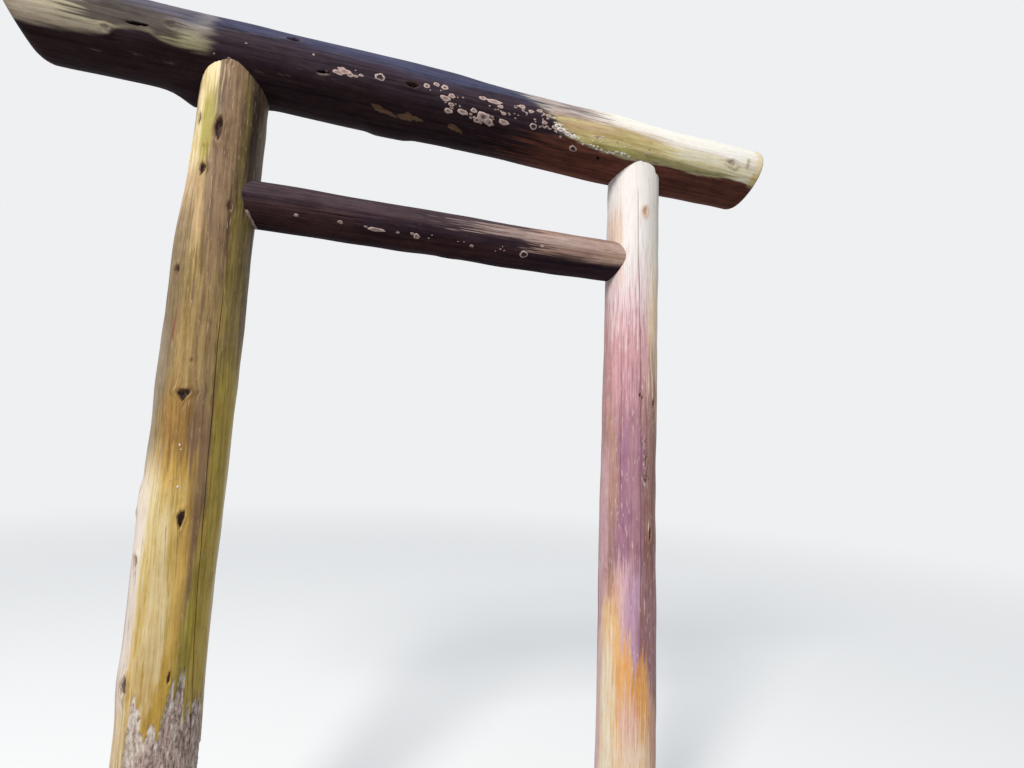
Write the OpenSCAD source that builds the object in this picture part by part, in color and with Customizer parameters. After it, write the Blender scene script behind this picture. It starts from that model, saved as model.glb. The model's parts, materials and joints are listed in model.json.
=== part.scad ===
// Torii gate of four peeled round logs: two posts, a top log (kasagi) that sits in the
// fish mouths of the posts, and a tie log (nuki) whose round ends are let into the posts.
// Millimetres, +Z up. The origin is the centre of the left post's foot, the gate stands
// in the plane Y = 0, and the side that people walk up to is -Y.

/* [Posts] */
// Distance between the axes of the two posts
post_spacing = 1412; // [900:1:2400]
// Nominal diameter of the left post
left_post_d = 200; // [150:1:230]
// Nominal diameter of the right post
right_post_d = 200; // [150:1:230]

/* [Top log] */
// Height of the top log's axis above the feet
kasagi_height = 2662; // [2600:1:3200]
// Nominal diameter of the top log
kasagi_d = 236; // [210:1:280]
// How far the top log's axis runs past the axis of the left post
overhang_left = 562; // [300:1:800]
// How far the top log's axis runs past the axis of the right post
overhang_right = 527; // [300:1:800]
// Slant of the left end cut, so that the top is longer than the bottom, in degrees
end_slant_left = 24; // [0:0.5:28]
// Slant of the right end cut, the same way
end_slant_right = 16; // [0:0.5:28]
// Rounded-off edge of the end cuts
end_chamfer = 12; // [2:1:20]

/* [Tie log] */
// Height of the tie log's axis above the feet
nuki_height = 2207; // [1900:1:2350]
// Nominal diameter of the tie log
nuki_d = 148; // [110:1:170]

/* [Joints] */
// Diameter of the round tenon that each post has on its top
post_tenon_d = 80; // [50:1:100]
// Height of the post's tenon above the bottom of its fish mouth
post_tenon_h = 75; // [40:1:110]
// How deep the round ends of the tie log are let into the posts
nuki_socket = 40; // [20:1:60]
// Length of the wedge under the tie log's left end
wedge_l = 47; // [44:1:60]
// Thickness of the wedge at its outer end
wedge_t = 9; // [4:1:14]

/* [Natural form] */
// How far the logs are out of round
out_of_round = 1.5; // [0:0.1:4]
// How much has broken off the tip of the right post's front horn
horn_loss = 22; // [0:1:30]

/* [Hidden] */

// Sides and ring spacing of the log surfaces
LOG_SIDES = 36;
RING_STEP = 55;

// The natural run of each log at even steps from its foot or left end, from the nominal
// axis: how far the log wanders sideways (posts) or up (beams), and how much its radius
// swells or thins from the nominal one
LEFT_POST_BEND = [7, 8, 9, 8, 3, -1, -2, 1, 0, 1, -1, 6, 8, 6];
LEFT_POST_SWELL = [1, 0, -1, -1, -2, -1, 2, 0, 2, 2, 2, -3, -4, -2];
RIGHT_POST_BEND = [-2, -1, 1, 2, 2, 0, -3, -3, -2, -1, 0, 1, 2, 2];
RIGHT_POST_SWELL = [5, 4, 3, 2, 1, 1, 0, -1, -1, -1, -1, -1, -2, -3];
KASAGI_BEND = [-1, -1, 0, 4, 3, 4, 7, 1, -2, -4, -7, -5, -4];
KASAGI_SWELL = [-5, -5, -5, -5, -1, 2, 0, -2, 1, 5, 1, 2, 2];
NUKI_BEND = [0, 1, 0, 1, -2, 0, 2];
NUKI_SWELL = [-3, -2, -1, -1, 0, 1, 1];

// Knots that stand proud of the peeled logs: place along the log, bearing round it in
// degrees, half width and height of the swelling. The top log's first one is the burl
// that hangs behind the head of the left post.
LEFT_POST_KNOTS = [
    [845, -150, 44, 9], [1156, -135, 35, 5], [1280, -77, 30, 4], [1310, -161, 35, 5],
    [1598, -92, 28, 4], [1943, -127, 28, 4], [2153, -60, 30, 4], [2252, -108, 30, 4],
    [2380, -89, 38, 5], [2419, -128, 30, 4], [1050, 70, 34, 5], [1720, 100, 30, 4]
];
RIGHT_POST_KNOTS = [
    [1216, -71, 28, 4], [1666, -63, 28, 4], [2381, -91, 32, 4], [760, 60, 34, 5],
    [1480, 130, 30, 4], [2050, 80, 30, 4]
];
KASAGI_KNOTS = [
    [470, 145, 52, 66], [1020, 20, 40, 5], [1280, 125, 36, 4], [2347, -102, 34, 5],
    [1940, 60, 40, 5]
];
NUKI_KNOTS = [[370, 80, 24, 3], [898, -128, 26, 3], [950, 40, 24, 3]];
// The wedge reaches from this bearing under the tie log, over this angle towards the back
WEDGE_FROM = -65;
WEDGE_TURN = 75;

kasagi_length = overhang_left + post_spacing + overhang_right;
seat_z = kasagi_height - kasagi_d / 2;
nuki_left = left_post_d / 2 - nuki_socket;
nuki_length = post_spacing - nuki_left - (right_post_d / 2 - nuki_socket);

// Value at place x of a smooth line through values that lie step apart
function smooth(values, step, x) =
    let (
        last = len(values) - 1,
        s = max(0, min(last, x / step)),
        i = min(last - 1, floor(s)),
        f = s - i,
        a = values[max(0, i - 1)],
        b = values[i],
        c = values[i + 1],
        d = values[min(last, i + 2)]
    )
    b + f / 2 * ((c - a) + f * ((2 * a - 5 * b + 4 * c - d) + f * (3 * (b - c) + d - a)));

// Smaller angle between two bearings
function turn(a, b) = abs((((a - b) % 360) + 540) % 360 - 180);

// Height that the knots add at a place on the log's surface
function knot_rise(knots, r, x, a, i = 0) =
    i == len(knots) ? 0
    : let (
        k = knots[i],
        along = (x - k[0]) / k[2],
        round_it = turn(a, k[1]) * PI / 180 * r / k[2]
    )
    k[3] * exp(-along * along - round_it * round_it) + knot_rise(knots, r, x, a, i + 1);

// Out-of-round form that twists slowly up the log, as the grain does
function wander(x, a, phase) =
    out_of_round * (0.6 * cos(2 * a + 0.05 * x + phase) + 0.4 * cos(3 * a - 0.09 * x + 2 * phase));

// Radius of a log at a place on its surface
function log_radius(r, swell, step, knots, phase, x, a) =
    r + smooth(swell, step, x) + wander(x, a, phase) + knot_rise(knots, r, x, a);

// 1 at either slanted end of the log, falling to 0 a diameter and a half inside it
function end_pull(x, length, d) =
    let (
        inside = min(x, length - x) / (1.5 * d),
        f = 1 - max(0, min(1, inside))
    )
    (x < length / 2 ? -1 : 1) * f * f * (3 - 2 * f);

// Places of the rings along a log, close together at a chamfered end
function ring_places(length, chamfer) =
    let (inner = length - 2 * chamfer, n = ceil(inner / RING_STEP))
    concat(chamfer > 0 ? [0] : [],
        [for (i = [0:n]) chamfer + inner * i / n],
        chamfer > 0 ? [length] : []);

// One peeled log that stands on the origin along +Z. It bends towards +X, bearings count
// from +X towards +Y, and slanted ends lean so that the +X side is the longer one.
module peeled_log(length, d, bend, swell, knots, phase, slants = [0, 0], chamfer = 0,
        from = 0, to = 1e6) {
    step = length / (len(bend) - 1);
    places = [for (x = ring_places(length, chamfer)) if (x >= from && x <= to) x];
    n = len(places);
    points = [
        for (x = places)
        let (
            edge = (x < chamfer / 2 || x > length - chamfer / 2) ? chamfer : 0,
            pull = tan(slants[x < length / 2 ? 0 : 1]) * end_pull(x, length, d)
        )
        for (s = [0:LOG_SIDES - 1])
        let (
            a = 360 * s / LOG_SIDES,
            r = log_radius(d / 2, swell, step, knots, phase, x, a) - edge
        )
        [smooth(bend, step, x) + r * cos(a), r * sin(a), x + pull * r * cos(a)]
    ];
    sides = [
        for (i = [0:n - 2])
        for (s = [0:LOG_SIDES - 1])
        let (t = (s + 1) % LOG_SIDES, p = i * LOG_SIDES, q = p + LOG_SIDES)
        each [[p + s, q + s, q + t], [p + s, q + t, p + t]]
    ];
    foot = [for (s = [0:LOG_SIDES - 1]) s];
    top = [for (s = [LOG_SIDES - 1:-1:0]) (n - 1) * LOG_SIDES + s];
    polyhedron(points = points, faces = concat([foot], sides, [top]), convexity = 4);
}

module left_post_log(from = 0, to = 1e6) {
    peeled_log(kasagi_height, left_post_d, LEFT_POST_BEND, LEFT_POST_SWELL,
        LEFT_POST_KNOTS, 20, from = from, to = to);
}

module right_post_log(from = 0, to = 1e6) {
    translate([post_spacing, 0, 0])
        peeled_log(kasagi_height, right_post_d, RIGHT_POST_BEND, RIGHT_POST_SWELL,
            RIGHT_POST_KNOTS, 140, from = from, to = to);
}

// The whole top log, laid along +X with its bearing 0 on top
module kasagi_log(from = 0, to = 1e6) {
    translate([-overhang_left, 0, kasagi_height])
        mirror([1, 0, 0]) rotate([0, -90, 0])
            peeled_log(kasagi_length, kasagi_d, KASAGI_BEND, KASAGI_SWELL, KASAGI_KNOTS,
                250, [end_slant_left, end_slant_right], end_chamfer, from, to);
}

// The tie log with its plain round ends
module nuki_log(from = 0, to = 1e6) {
    translate([nuki_left, 0, nuki_height])
        mirror([1, 0, 0]) rotate([0, -90, 0])
            peeled_log(nuki_length, nuki_d, NUKI_BEND, NUKI_SWELL, NUKI_KNOTS, 75,
                from = from, to = to);
}

// Round tenon on a post's top, which holds the top log in place
module post_tenon(x) {
    translate([x, 0, seat_z - 20]) cylinder(d = post_tenon_d, h = post_tenon_h + 20, $fn = 64);
}

// What has broken off the front horn of the right post, as a ragged outline seen from
// the front, level with the new tip
module broken_tip() {
    horn = sqrt(max(0, pow(kasagi_d / 2, 2) - pow(right_post_d / 2, 2)));
    outline = [
        [-28, 60], [-24, 12], [-16, 1], [10, 0], [31, -3], [44, -9], [50, -27], [64, -25],
        [77, -31], [130, -31], [130, 60]
    ];
    translate([post_spacing, -30, kasagi_height - horn - horn_loss])
        rotate([90, 0, 0]) linear_extrude(right_post_d / 2) polygon(outline);
}

// Tapered curved wedge before the tie log takes its inner face away
module wedge_blank() {
    inside = nuki_d / 2 - 12;
    thin = nuki_d / 2 + 1;
    thick = nuki_d / 2 + wedge_t;
    translate([nuki_left, 0, nuki_height])
        rotate([0, 90, 0]) rotate([0, 0, WEDGE_FROM])
            rotate_extrude(angle = WEDGE_TURN, $fn = 96)
                polygon([[inside, 0], [thin, 0], [thick, wedge_l], [inside, wedge_l]]);
}

// A post with the fish mouth under the top log and the tenon in it. Its own log and the
// end of the tie log that is let into it are given as children.
module coped_post(x) {
    seat = overhang_left + x;
    difference() {
        children(0);
        kasagi_log(seat - 250, seat + 250);
        children(1);
    }
    post_tenon(x);
}

module left_post() {
    color("#b89a5e") coped_post(0) {
        left_post_log();
        union() {
            nuki_log(0, 150);
            wedge_blank();
        }
    }
}

module right_post() {
    color("#b08d86") coped_post(post_spacing) {
        right_post_log();
        union() {
            nuki_log(nuki_length - 150, nuki_length);
            broken_tip();
        }
    }
}

module kasagi() {
    color("#5a4640") difference() {
        kasagi_log();
        post_tenon(0);
        post_tenon(post_spacing);
    }
}

module nuki() {
    color("#4a3434") nuki_log();
}

module nuki_wedge() {
    color("#8c8070") difference() {
        wedge_blank();
        nuki_log(0, 150);
    }
}

left_post();
right_post();
kasagi();
nuki();
nuki_wedge();
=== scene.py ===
# %% [markdown]
# Sunlight and shade are also painted into some of their tones.
# # A torii gate of four peeled round logs
# The gate is two posts, a heavy top log (the kasagi) that rests in the forked heads of the
# posts, and a thinner tie log (the nuki) between them, held by a wedge on its left. The
# logs are peeled and nothing more, so everything that catches the eye is natural: the
# bend of each log, knots that stand proud or have fallen out, long drying checks, skin
# that has rotted away near the ground, lichen, and years of rain and shade.
#
# The CAD part has the true run of every log, but only with 36 flat sides. It is loaded
# first and never changed. Each log is then measured from it and skinned again, finely.

import json
import math

import bpy
import numpy as np
from mathutils import Matrix, Vector
from mathutils.bvhtree import BVHTree


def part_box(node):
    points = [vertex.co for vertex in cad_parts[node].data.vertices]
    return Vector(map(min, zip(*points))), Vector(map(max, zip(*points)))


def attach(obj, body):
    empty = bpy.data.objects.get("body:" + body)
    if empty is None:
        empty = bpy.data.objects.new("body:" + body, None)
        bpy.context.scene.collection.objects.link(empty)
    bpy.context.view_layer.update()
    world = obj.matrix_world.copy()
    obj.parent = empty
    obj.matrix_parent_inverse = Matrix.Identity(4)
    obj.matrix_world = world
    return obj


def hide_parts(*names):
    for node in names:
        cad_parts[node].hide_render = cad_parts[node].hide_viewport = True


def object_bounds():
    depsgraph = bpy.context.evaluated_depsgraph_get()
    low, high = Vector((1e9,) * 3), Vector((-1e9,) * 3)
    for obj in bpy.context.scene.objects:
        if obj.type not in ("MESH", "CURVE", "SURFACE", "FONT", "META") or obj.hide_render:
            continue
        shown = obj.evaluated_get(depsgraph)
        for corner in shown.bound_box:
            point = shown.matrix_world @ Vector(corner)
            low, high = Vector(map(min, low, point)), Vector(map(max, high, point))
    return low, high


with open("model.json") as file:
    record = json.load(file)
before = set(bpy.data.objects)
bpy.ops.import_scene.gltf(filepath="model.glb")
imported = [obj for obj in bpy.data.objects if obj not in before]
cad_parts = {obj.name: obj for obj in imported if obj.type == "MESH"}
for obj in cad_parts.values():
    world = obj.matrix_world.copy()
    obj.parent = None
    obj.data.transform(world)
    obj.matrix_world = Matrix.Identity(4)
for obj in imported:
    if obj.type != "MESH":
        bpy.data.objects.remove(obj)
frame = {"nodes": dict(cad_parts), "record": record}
cad_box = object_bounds()
print("CAD box, metres:", [[round(v, 3) for v in corner] for corner in cad_box])

# %% [markdown]
# ## Camera
# The gate was seen from eye height, close in front of it and left of its middle, with a
# very wide lens. The camera turns right by its yaw, tips up by its pitch, and rolls a
# little. A wide lens so near is why the posts seem to lean and the top log to run away.

# %% Camera
EYE = Vector((0.4695, -1.6461, 1.5))
YAW, PITCH, ROLL = 0.2862, 0.1233, 0.0434
IMAGE_WIDTH = 1024
FOCAL_PIXELS = 498.0
SENSOR_WIDTH = 36.0

camera_data = bpy.data.cameras.new("eye_level")
camera_data.sensor_width = SENSOR_WIDTH
camera_data.lens = FOCAL_PIXELS / IMAGE_WIDTH * SENSOR_WIDTH
camera = bpy.data.objects.new("eye_level", camera_data)
turned = Matrix.Rotation(-YAW, 4, "Z") @ Matrix.Rotation(math.pi / 2 + PITCH, 4, "X")
camera.matrix_world = Matrix.Translation(EYE) @ turned @ Matrix.Rotation(ROLL, 4, "Z")
bpy.context.scene.collection.objects.link(camera)
bpy.context.scene.camera = camera
bpy.context.scene.view_settings.view_transform = "Standard"
print("lens:", round(camera_data.lens, 2), "mm on a", SENSOR_WIDTH, "mm sensor")

# %% [markdown]
# ## Shader arithmetic
# A material is a small network of nodes. Written as plain Python sums it is much easier
# to read, so a socket is wrapped in a class that knows how to add, multiply and so on,
# and each sum quietly adds its Math node. Every other node comes from one method, which
# takes the node's type, its settings, and the values or links of its sockets.

# %% Values
class Value:
    """A shader socket that Python can do sums with."""

    def __init__(self, net, socket):
        self.net = net
        self.socket = socket

    def other(self, output):
        """Another output of the same node."""
        return Value(self.net, self.socket.node.outputs[output])

    def math(self, operation, *values):
        settings = {"operation": operation}
        return self.net.node("ShaderNodeMath", settings, dict(enumerate(values)))

    def __add__(self, other):
        return self.math("ADD", self, other)

    def __sub__(self, other):
        return self.math("SUBTRACT", self, other)

    def __rsub__(self, other):
        return self.math("SUBTRACT", other, self)

    def __mul__(self, other):
        return self.math("MULTIPLY", self, other)

    __radd__ = __add__
    __rmul__ = __mul__

    def step(self, low, high):
        """0 below low, 1 above high, and smooth between."""
        return self.net.node(
            "ShaderNodeMapRange",
            {"interpolation_type": "SMOOTHSTEP"},
            {"Value": self, "From Min": low, "From Max": high},
        )


print("sums that a value can do:", [n for n in vars(Value) if n.strip("_") in ("add", "sub", "rsub", "mul")])

# %% Node trees
class Net:
    """A tree of shader nodes, and the one way in which nodes are added to it."""

    def __init__(self, tree):
        self.tree = tree

    def node(self, kind, settings=None, sockets=None, output=0):
        made = self.tree.nodes.new(kind)
        for name, value in (settings or {}).items():
            setattr(made, name, value)
        for name, value in (sockets or {}).items():
            self.join(value, made.inputs[name])
        return Value(self, made.outputs[output])

    def join(self, value, socket):
        if isinstance(value, Value):
            self.tree.links.new(value.socket, socket)
        elif socket.type == "RGBA" and len(value) == 3:
            socket.default_value = (*value, 1)
        else:
            socket.default_value = value

    def seen(self):
        """1 for the rays of the eye, also in a gloss or through glass, and 0 for light."""
        camera = self.node("ShaderNodeLightPath", None, None, "Is Camera Ray")
        mirrored = camera.math("MAXIMUM", camera, camera.other("Is Glossy Ray"))
        return camera.math("MAXIMUM", mirrored, camera.other("Is Transmission Ray"))

    def show(self, surface, output):
        """Makes a shader the surface that the tree gives out."""
        self.join(surface, self.tree.nodes[output].inputs["Surface"])


print("what a net can do:", [n for n in vars(Net) if not n.startswith("_")])

# %% Finishes
class Finish(Net):
    """One procedural material, and short ways to add to it."""

    def __init__(self, name):
        self.material = bpy.data.materials.new(name)
        self.material.use_nodes = True
        super().__init__(self.material.node_tree)
        self.shader = self.tree.nodes["Principled BSDF"]

    def put(self, socket, value):
        """Sets a socket of the material's shader, or links a value to it."""
        self.join(value, self.shader.inputs[socket])

    def attribute(self, name, output="Vector"):
        return self.node("ShaderNodeAttribute", {"attribute_name": name}, None, output)

    def parts(self, name):
        """The red, green, blue and alpha of a colour attribute, as four values."""
        whole = self.attribute(name, "Color")
        red = self.node("ShaderNodeSeparateColor", None, {0: whole})
        return red, red.other(1), red.other(2), whole.other("Alpha")

    def place(self):
        """The point that is shaded, in the frame that all pieces share."""
        return self.node("ShaderNodeTexCoord", None, None, "Object")

    def length(self, vector):
        return self.node("ShaderNodeVectorMath", {"operation": "LENGTH"}, {0: vector}, "Value")

    def stretch(self, vector, scale):
        return self.node("ShaderNodeVectorMath", {"operation": "MULTIPLY"}, {0: vector, 1: scale})

    def noise(self, vector, scale, detail=2.0, roughness=0.5):
        sockets = {"Vector": vector, "Scale": scale, "Detail": detail, "Roughness": roughness}
        return self.node("ShaderNodeTexNoise", None, sockets)

    def mix(self, first, second, share):
        """First colour where share is 0, second where it is 1."""
        settings = {"data_type": "RGBA"}
        return self.node("ShaderNodeMix", settings, {0: share, 6: first, 7: second}, 2)

    def bump(self, height, strength, distance):
        sockets = {"Height": height, "Strength": strength, "Distance": distance}
        return self.node("ShaderNodeBump", None, sockets)


print("short ways of a finish:", [n for n in vars(Finish) if not n.startswith("_")])

# %% [markdown]
# ## Floor and light
# The logs are judged against nothing but themselves, so the setting is a plain pale
# floor that fades into a pale world. A large soft lamp stands high on the left in front
# of the gate, where the sun would be. What the eye sees of the floor is pale, but the
# light that it throws back up is held down, so that undersides stay as dark as they are
# outdoors over earth and gravel.

# %% Floor
FLOOR_SIZE = 24.0
FADE_FROM, FADE_TO = 0.12 * FLOOR_SIZE, 0.48 * FLOOR_SIZE
FLOOR_PALE = (0.80, 0.80, 0.79)
FLOOR_EARTH = (0.30, 0.29, 0.27)
FLOOR_GLOW = (0.24, 0.24, 0.235)


def floor_finish():
    """Pale to the eye, darker for the light that it throws back, and clear far away."""
    f = Finish("pale_floor")
    seen = f.seen()
    f.put("Base Color", f.mix(FLOOR_EARTH, FLOOR_PALE, seen))
    f.put("Roughness", 0.9)
    f.put("Specular IOR Level", 0.1)
    f.put("Emission Color", f.mix((0, 0, 0), FLOOR_GLOW, seen))
    f.put("Emission Strength", 1.0)
    share = f.length(f.place()).step(FADE_FROM, FADE_TO)
    solid = Value(f, f.shader.outputs[0])
    clear = f.node("ShaderNodeBsdfTransparent")
    f.show(f.node("ShaderNodeMixShader", None, {0: share, 1: solid, 2: clear}), "Material Output")
    return f.material


def make_floor():
    half = FLOOR_SIZE / 2
    corners = [(-half, -half, 0), (half, -half, 0), (half, half, 0), (-half, half, 0)]
    mesh = bpy.data.meshes.new("floor")
    mesh.from_pydata(corners, [], [(0, 1, 2, 3)])
    mesh.materials.append(floor_finish())
    floor = bpy.data.objects.new("floor", mesh)
    bpy.context.scene.collection.objects.link(floor)
    print("floor of", FLOOR_SIZE, "m, clear from", round(FADE_TO, 1), "m out")


make_floor()

# %% World
SKY_PALE = (0.86, 0.87, 0.88)
SKY_LIGHT = (0.80, 0.86, 0.95)
SKY_STRENGTH = 0.55


def make_world():
    """One pale tone for the eye, and a weaker, bluer light for the logs."""
    world = bpy.data.worlds.new("pale_world")
    world.use_nodes = True
    bpy.context.scene.world = world
    net = Net(world.node_tree)
    light = net.node("ShaderNodeBackground", None, {"Color": SKY_LIGHT, "Strength": SKY_STRENGTH})
    pale = net.node("ShaderNodeBackground", None, {"Color": SKY_PALE})
    net.show(net.node("ShaderNodeMixShader", None, {0: net.seen(), 1: light, 2: pale}), "World Output")
    print("world of", len(net.tree.nodes), "nodes")


make_world()

# %% Lamp
LAMP_PLACE = Vector((-2.5, -3.85, 6.6))
LAMP_AIM = Vector((0.7, 0.0, 1.7))
LAMP_SIZE = 2.0
LAMP_WATTS = 440.0
LAMP_WARM = (1.0, 0.97, 0.92)


def make_lamp():
    data = bpy.data.lights.new("soft_lamp", "AREA")
    data.shape = "DISK"
    data.size = LAMP_SIZE
    data.energy = LAMP_WATTS
    data.color = LAMP_WARM
    lamp = bpy.data.objects.new("soft_lamp", data)
    lamp.location = LAMP_PLACE
    lamp.rotation_euler = (LAMP_AIM - LAMP_PLACE).to_track_quat("-Z", "Y").to_euler()
    bpy.context.scene.collection.objects.link(lamp)
    print("lamp", round((LAMP_AIM - LAMP_PLACE).length, 2), "m from the gate")


make_lamp()

# %% [markdown]
# ## Measuring the logs
# A log is a line and a radius all round it. Rays shot at that line from outside find the
# CAD log's skin at every station and bearing. Where a joint has been cut into the log
# the ray goes too deep, so those places are left out and filled from beside them. Each
# ring of radii is then kept as a few waves round the log, which close on themselves and
# have no flat sides, so a fine mesh that follows them is as round as the real log.
#
# Bearings count in degrees. On a post 0 is the right side and -90 the front. On a beam
# 0 is the top and -90 the front.

# %% Smooth steps and bearings
def ease(x):
    """0 up to 0, 1 from 1, and smooth between."""
    x = np.clip(x, 0, 1)
    return x * x * (3 - 2 * x)


def turn(degrees):
    """A difference of bearings, brought between -180 and 180."""
    return (degrees + 180) % 360 - 180


print("ease at 0, 0.25 and 1:", *ease(np.array((0, 0.25, 1))), "and 350 degrees is", turn(350))

# %% A log measured from the frame
STATION = 0.02
RAYS = 36
WAVES = 13
REACH = 0.4
# Weights that soften the radii along the log, over five stations
SOFTEN = np.array([1, 2, 3, 2, 1]) / 9


def ray_tree(mesh):
    """A tree of a mesh's faces, for rays to hit."""
    return BVHTree.FromPolygons([v.co for v in mesh.vertices], [p.vertices for p in mesh.polygons])


class Log:
    """The line of one CAD log, and its radius at any station and bearing."""

    def __init__(self, node, start, run, zero, length, cuts):
        self.node = node
        self.start = np.array(start)
        self.run = np.array(run)
        self.zero = np.array(zero)
        self.side = np.array((0.0, 1.0, 0.0))
        self.length = length
        self.stations = np.arange(STATION, length, STATION)
        table = self.measure(cuts)
        self.mean = float(table.mean())
        self.waves = np.fft.rfft(table, axis=1)[:, :WAVES] / RAYS

    def measure(self, cuts):
        tree = ray_tree(frame["nodes"][self.node].data)
        bearings = np.arange(RAYS) * 360 / RAYS
        table = np.full((len(self.stations), RAYS), np.nan)
        for i, along in enumerate(self.stations):
            middle = self.start + self.run * along
            for j, bearing in enumerate(np.radians(bearings)):
                out = self.zero * math.cos(bearing) + self.side * math.sin(bearing)
                hit = tree.ray_cast(Vector(middle + out * REACH), Vector(-out), REACH)
                if hit[0] is not None:
                    table[i, j] = REACH - hit[3]
        for low, high, bearing, half in cuts:
            inside = (self.stations >= low) & (self.stations <= high)
            near = np.abs(turn(bearings - bearing)) <= half
            table[np.ix_(inside, near)] = np.nan
        for column in table.T:
            known = ~np.isnan(column)
            column[:] = np.interp(self.stations, self.stations[known], column[known])
        padded = np.pad(table, ((2, 2), (0, 0)), mode="edge")
        return np.array([SOFTEN @ padded[i:i + len(SOFTEN)] for i in range(len(table))])

    def radius(self, along, bearing):
        """The log's radius, for arrays of stations and bearings."""
        a = np.radians(bearing)
        total = np.interp(along, self.stations, self.waves[:, 0].real) + 0 * a
        for k in range(1, WAVES):
            cosine = np.interp(along, self.stations, 2 * self.waves[:, k].real)
            sine = np.interp(along, self.stations, 2 * self.waves[:, k].imag)
            total += cosine * np.cos(k * a) - sine * np.sin(k * a)
        return total

    def skin(self, along, bearing, radius):
        """Points on the log's skin, in the frame."""
        a = np.radians(bearing)[..., None]
        out = np.cos(a) * self.zero + np.sin(a) * self.side
        return self.start + along[..., None] * self.run + radius[..., None] * out


print("a log is measured every", STATION, "m by", RAYS, "rays, and kept as", WAVES, "waves")

# %% [markdown]
# The posts' lines start at their feet, which the record's mounts give. A beam's line lies
# half way between its top and its bottom skin, which two rays find. The cuts to leave out
# are the fish mouths and sockets of the posts, and the top log's tenon holes and ends.

# %% The four lines
# How far the top of each slanted end reaches past the end of the log's line
LEFT_LEAN = 0.0455
RIGHT_LEAN = 0.0320
# Half lengths along the log and half angles round it of what a joint has cut away
END_CUT = 0.10
SEAT_HALF, SEAT_ANGLE = 0.08, 40
SOCKET_HALF, SOCKET_ANGLE = 0.10, 65
MOUTH_DEPTH = 0.13
# How far the head's ring lies below the top log's line before it is stretched
HEAD_DROP = 0.06
SPOTS = 9
CLEAR = 0.2
ABOVE = 1.0

feet = {m["name"]: Vector(m["pos_m"]) for m in frame["record"]["mounts"]}
LEFT_FOOT = feet["left_post_foot"]
RIGHT_FOOT = feet["right_post_foot"]


def middle_height(name, places):
    """The height of a beam's line: half way between its top and bottom skin."""
    tree = ray_tree(frame["nodes"][name].data)
    low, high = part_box(name)
    heights = []
    for x in places:
        above = tree.ray_cast(Vector((x, 0, high.z + ABOVE)), Vector((0, 0, -1)))[0].z
        below = tree.ray_cast(Vector((x, 0, low.z - ABOVE)), Vector((0, 0, 1)))[0].z
        heights.append((above + below) / 2)
    return float(np.median(heights))


def measure_beam(name, leans, end_cut, seats):
    low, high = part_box(name)
    height = middle_height(name, np.linspace(CLEAR, RIGHT_FOOT.x - CLEAR, SPOTS))
    start = (low.x + leans[0], 0, height)
    length = high.x - low.x - sum(leans)
    cuts = [(0, end_cut, 0, 180), (length - end_cut, length, 0, 180)]
    for x in seats:
        cuts.append((x - start[0] - SEAT_HALF, x - start[0] + SEAT_HALF, 180, SEAT_ANGLE))
    return Log(name, start, (1, 0, 0), (0, 0, 1), length, cuts)


def measure_post(name, foot, socket_bearing, tie_height, top):
    cuts = [
        (tie_height - SOCKET_HALF, tie_height + SOCKET_HALF, socket_bearing, SOCKET_ANGLE),
        (top - MOUTH_DEPTH, top, 0, 180),
    ]
    return Log(name, foot, (0, 0, 1), (1, 0, 0), top, cuts)


print("feet at", [round(v, 3) for v in LEFT_FOOT], "and", [round(v, 3) for v in RIGHT_FOOT])

# %% Measure the four logs
seats = [LEFT_FOOT.x, RIGHT_FOOT.x]
kasagi_log = measure_beam("kasagi", (LEFT_LEAN, RIGHT_LEAN), END_CUT, seats)
nuki_log = measure_beam("nuki", (0, 0), 0, [])
POST_TOP = kasagi_log.start[2] - HEAD_DROP
left_post_log = measure_post("left_post", LEFT_FOOT, 0, nuki_log.start[2], POST_TOP)
right_post_log = measure_post("right_post", RIGHT_FOOT, 180, nuki_log.start[2], POST_TOP)
for log in (left_post_log, right_post_log, kasagi_log, nuki_log):
    print(log.node, "length", round(log.length, 3), "mean radius", round(log.mean, 4))

# %% [markdown]
# ## A fine skin
# Each log gets a grid of points: rings along it and columns round it. Rings lie closer
# where there is a knot or rot to show, and columns lie closer beside a long check. The
# columns are also bent so that one of them follows the check exactly. A thin groove then
# stays sharp without thousands of extra faces.
#
# Everything natural is a change of radius, in metres, laid over the measured log. Beside
# it run masks, kept as attributes of the mesh, which tell the finish where a knot, a
# check or bare wood is. One more attribute holds the grain: the place on the log, but
# bent round each knot as wood fibres are, so that every streak flows round it.

# %% Rings and columns
SAMPLES = 6000


def spaced(start, end, coarse, fine, places):
    """Numbers from start to end, coarse apart, but fine within reach of some places."""
    line = np.linspace(start, end, SAMPLES)
    step = np.full(line.shape, float(coarse))
    for place, reach in places:
        share = ease(np.abs(line - place) / reach - 1)
        step = np.minimum(step, fine + (coarse - fine) * share)
    count = np.concatenate(([0], np.cumsum((line[1] - line[0]) / step[1:])))
    return np.interp(np.linspace(0, count[-1], int(count[-1]) + 1), count, line)


print("rings near a knot at 1 m:", spaced(0.9, 1.1, 0.04, 0.01, [(1.0, 0.02)]).round(3))

# %% Noise round a log
def wander(bearing, along, seed, around, lengths, waves=26):
    """Noise of strength 1 that closes round the log: whole waves round, any along."""
    rng = np.random.default_rng(seed)
    total = np.zeros(np.broadcast(bearing, along).shape)
    for _ in range(waves):
        turns = rng.integers(*around) * rng.choice((-1, 1))
        length = math.exp(rng.uniform(*np.log(lengths)))
        phase = rng.uniform(0, 2 * math.pi)
        total += np.cos(turns * np.radians(bearing) + 2 * math.pi * along / length + phase)
    return total * math.sqrt(2 / waves)


sample = wander(np.arange(360.0), 1.0, 1, (1, 9), (0.2, 1))
print("noise round a log, least and most:", sample.min().round(2), sample.max().round(2))

# %% Parts of a log
def band(x, low, high, soft):
    """1 from low to high, fading to 0 over soft outside them."""
    return ease((x - low) / soft + 1) * ease((high - x) / soft + 1)


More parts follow.
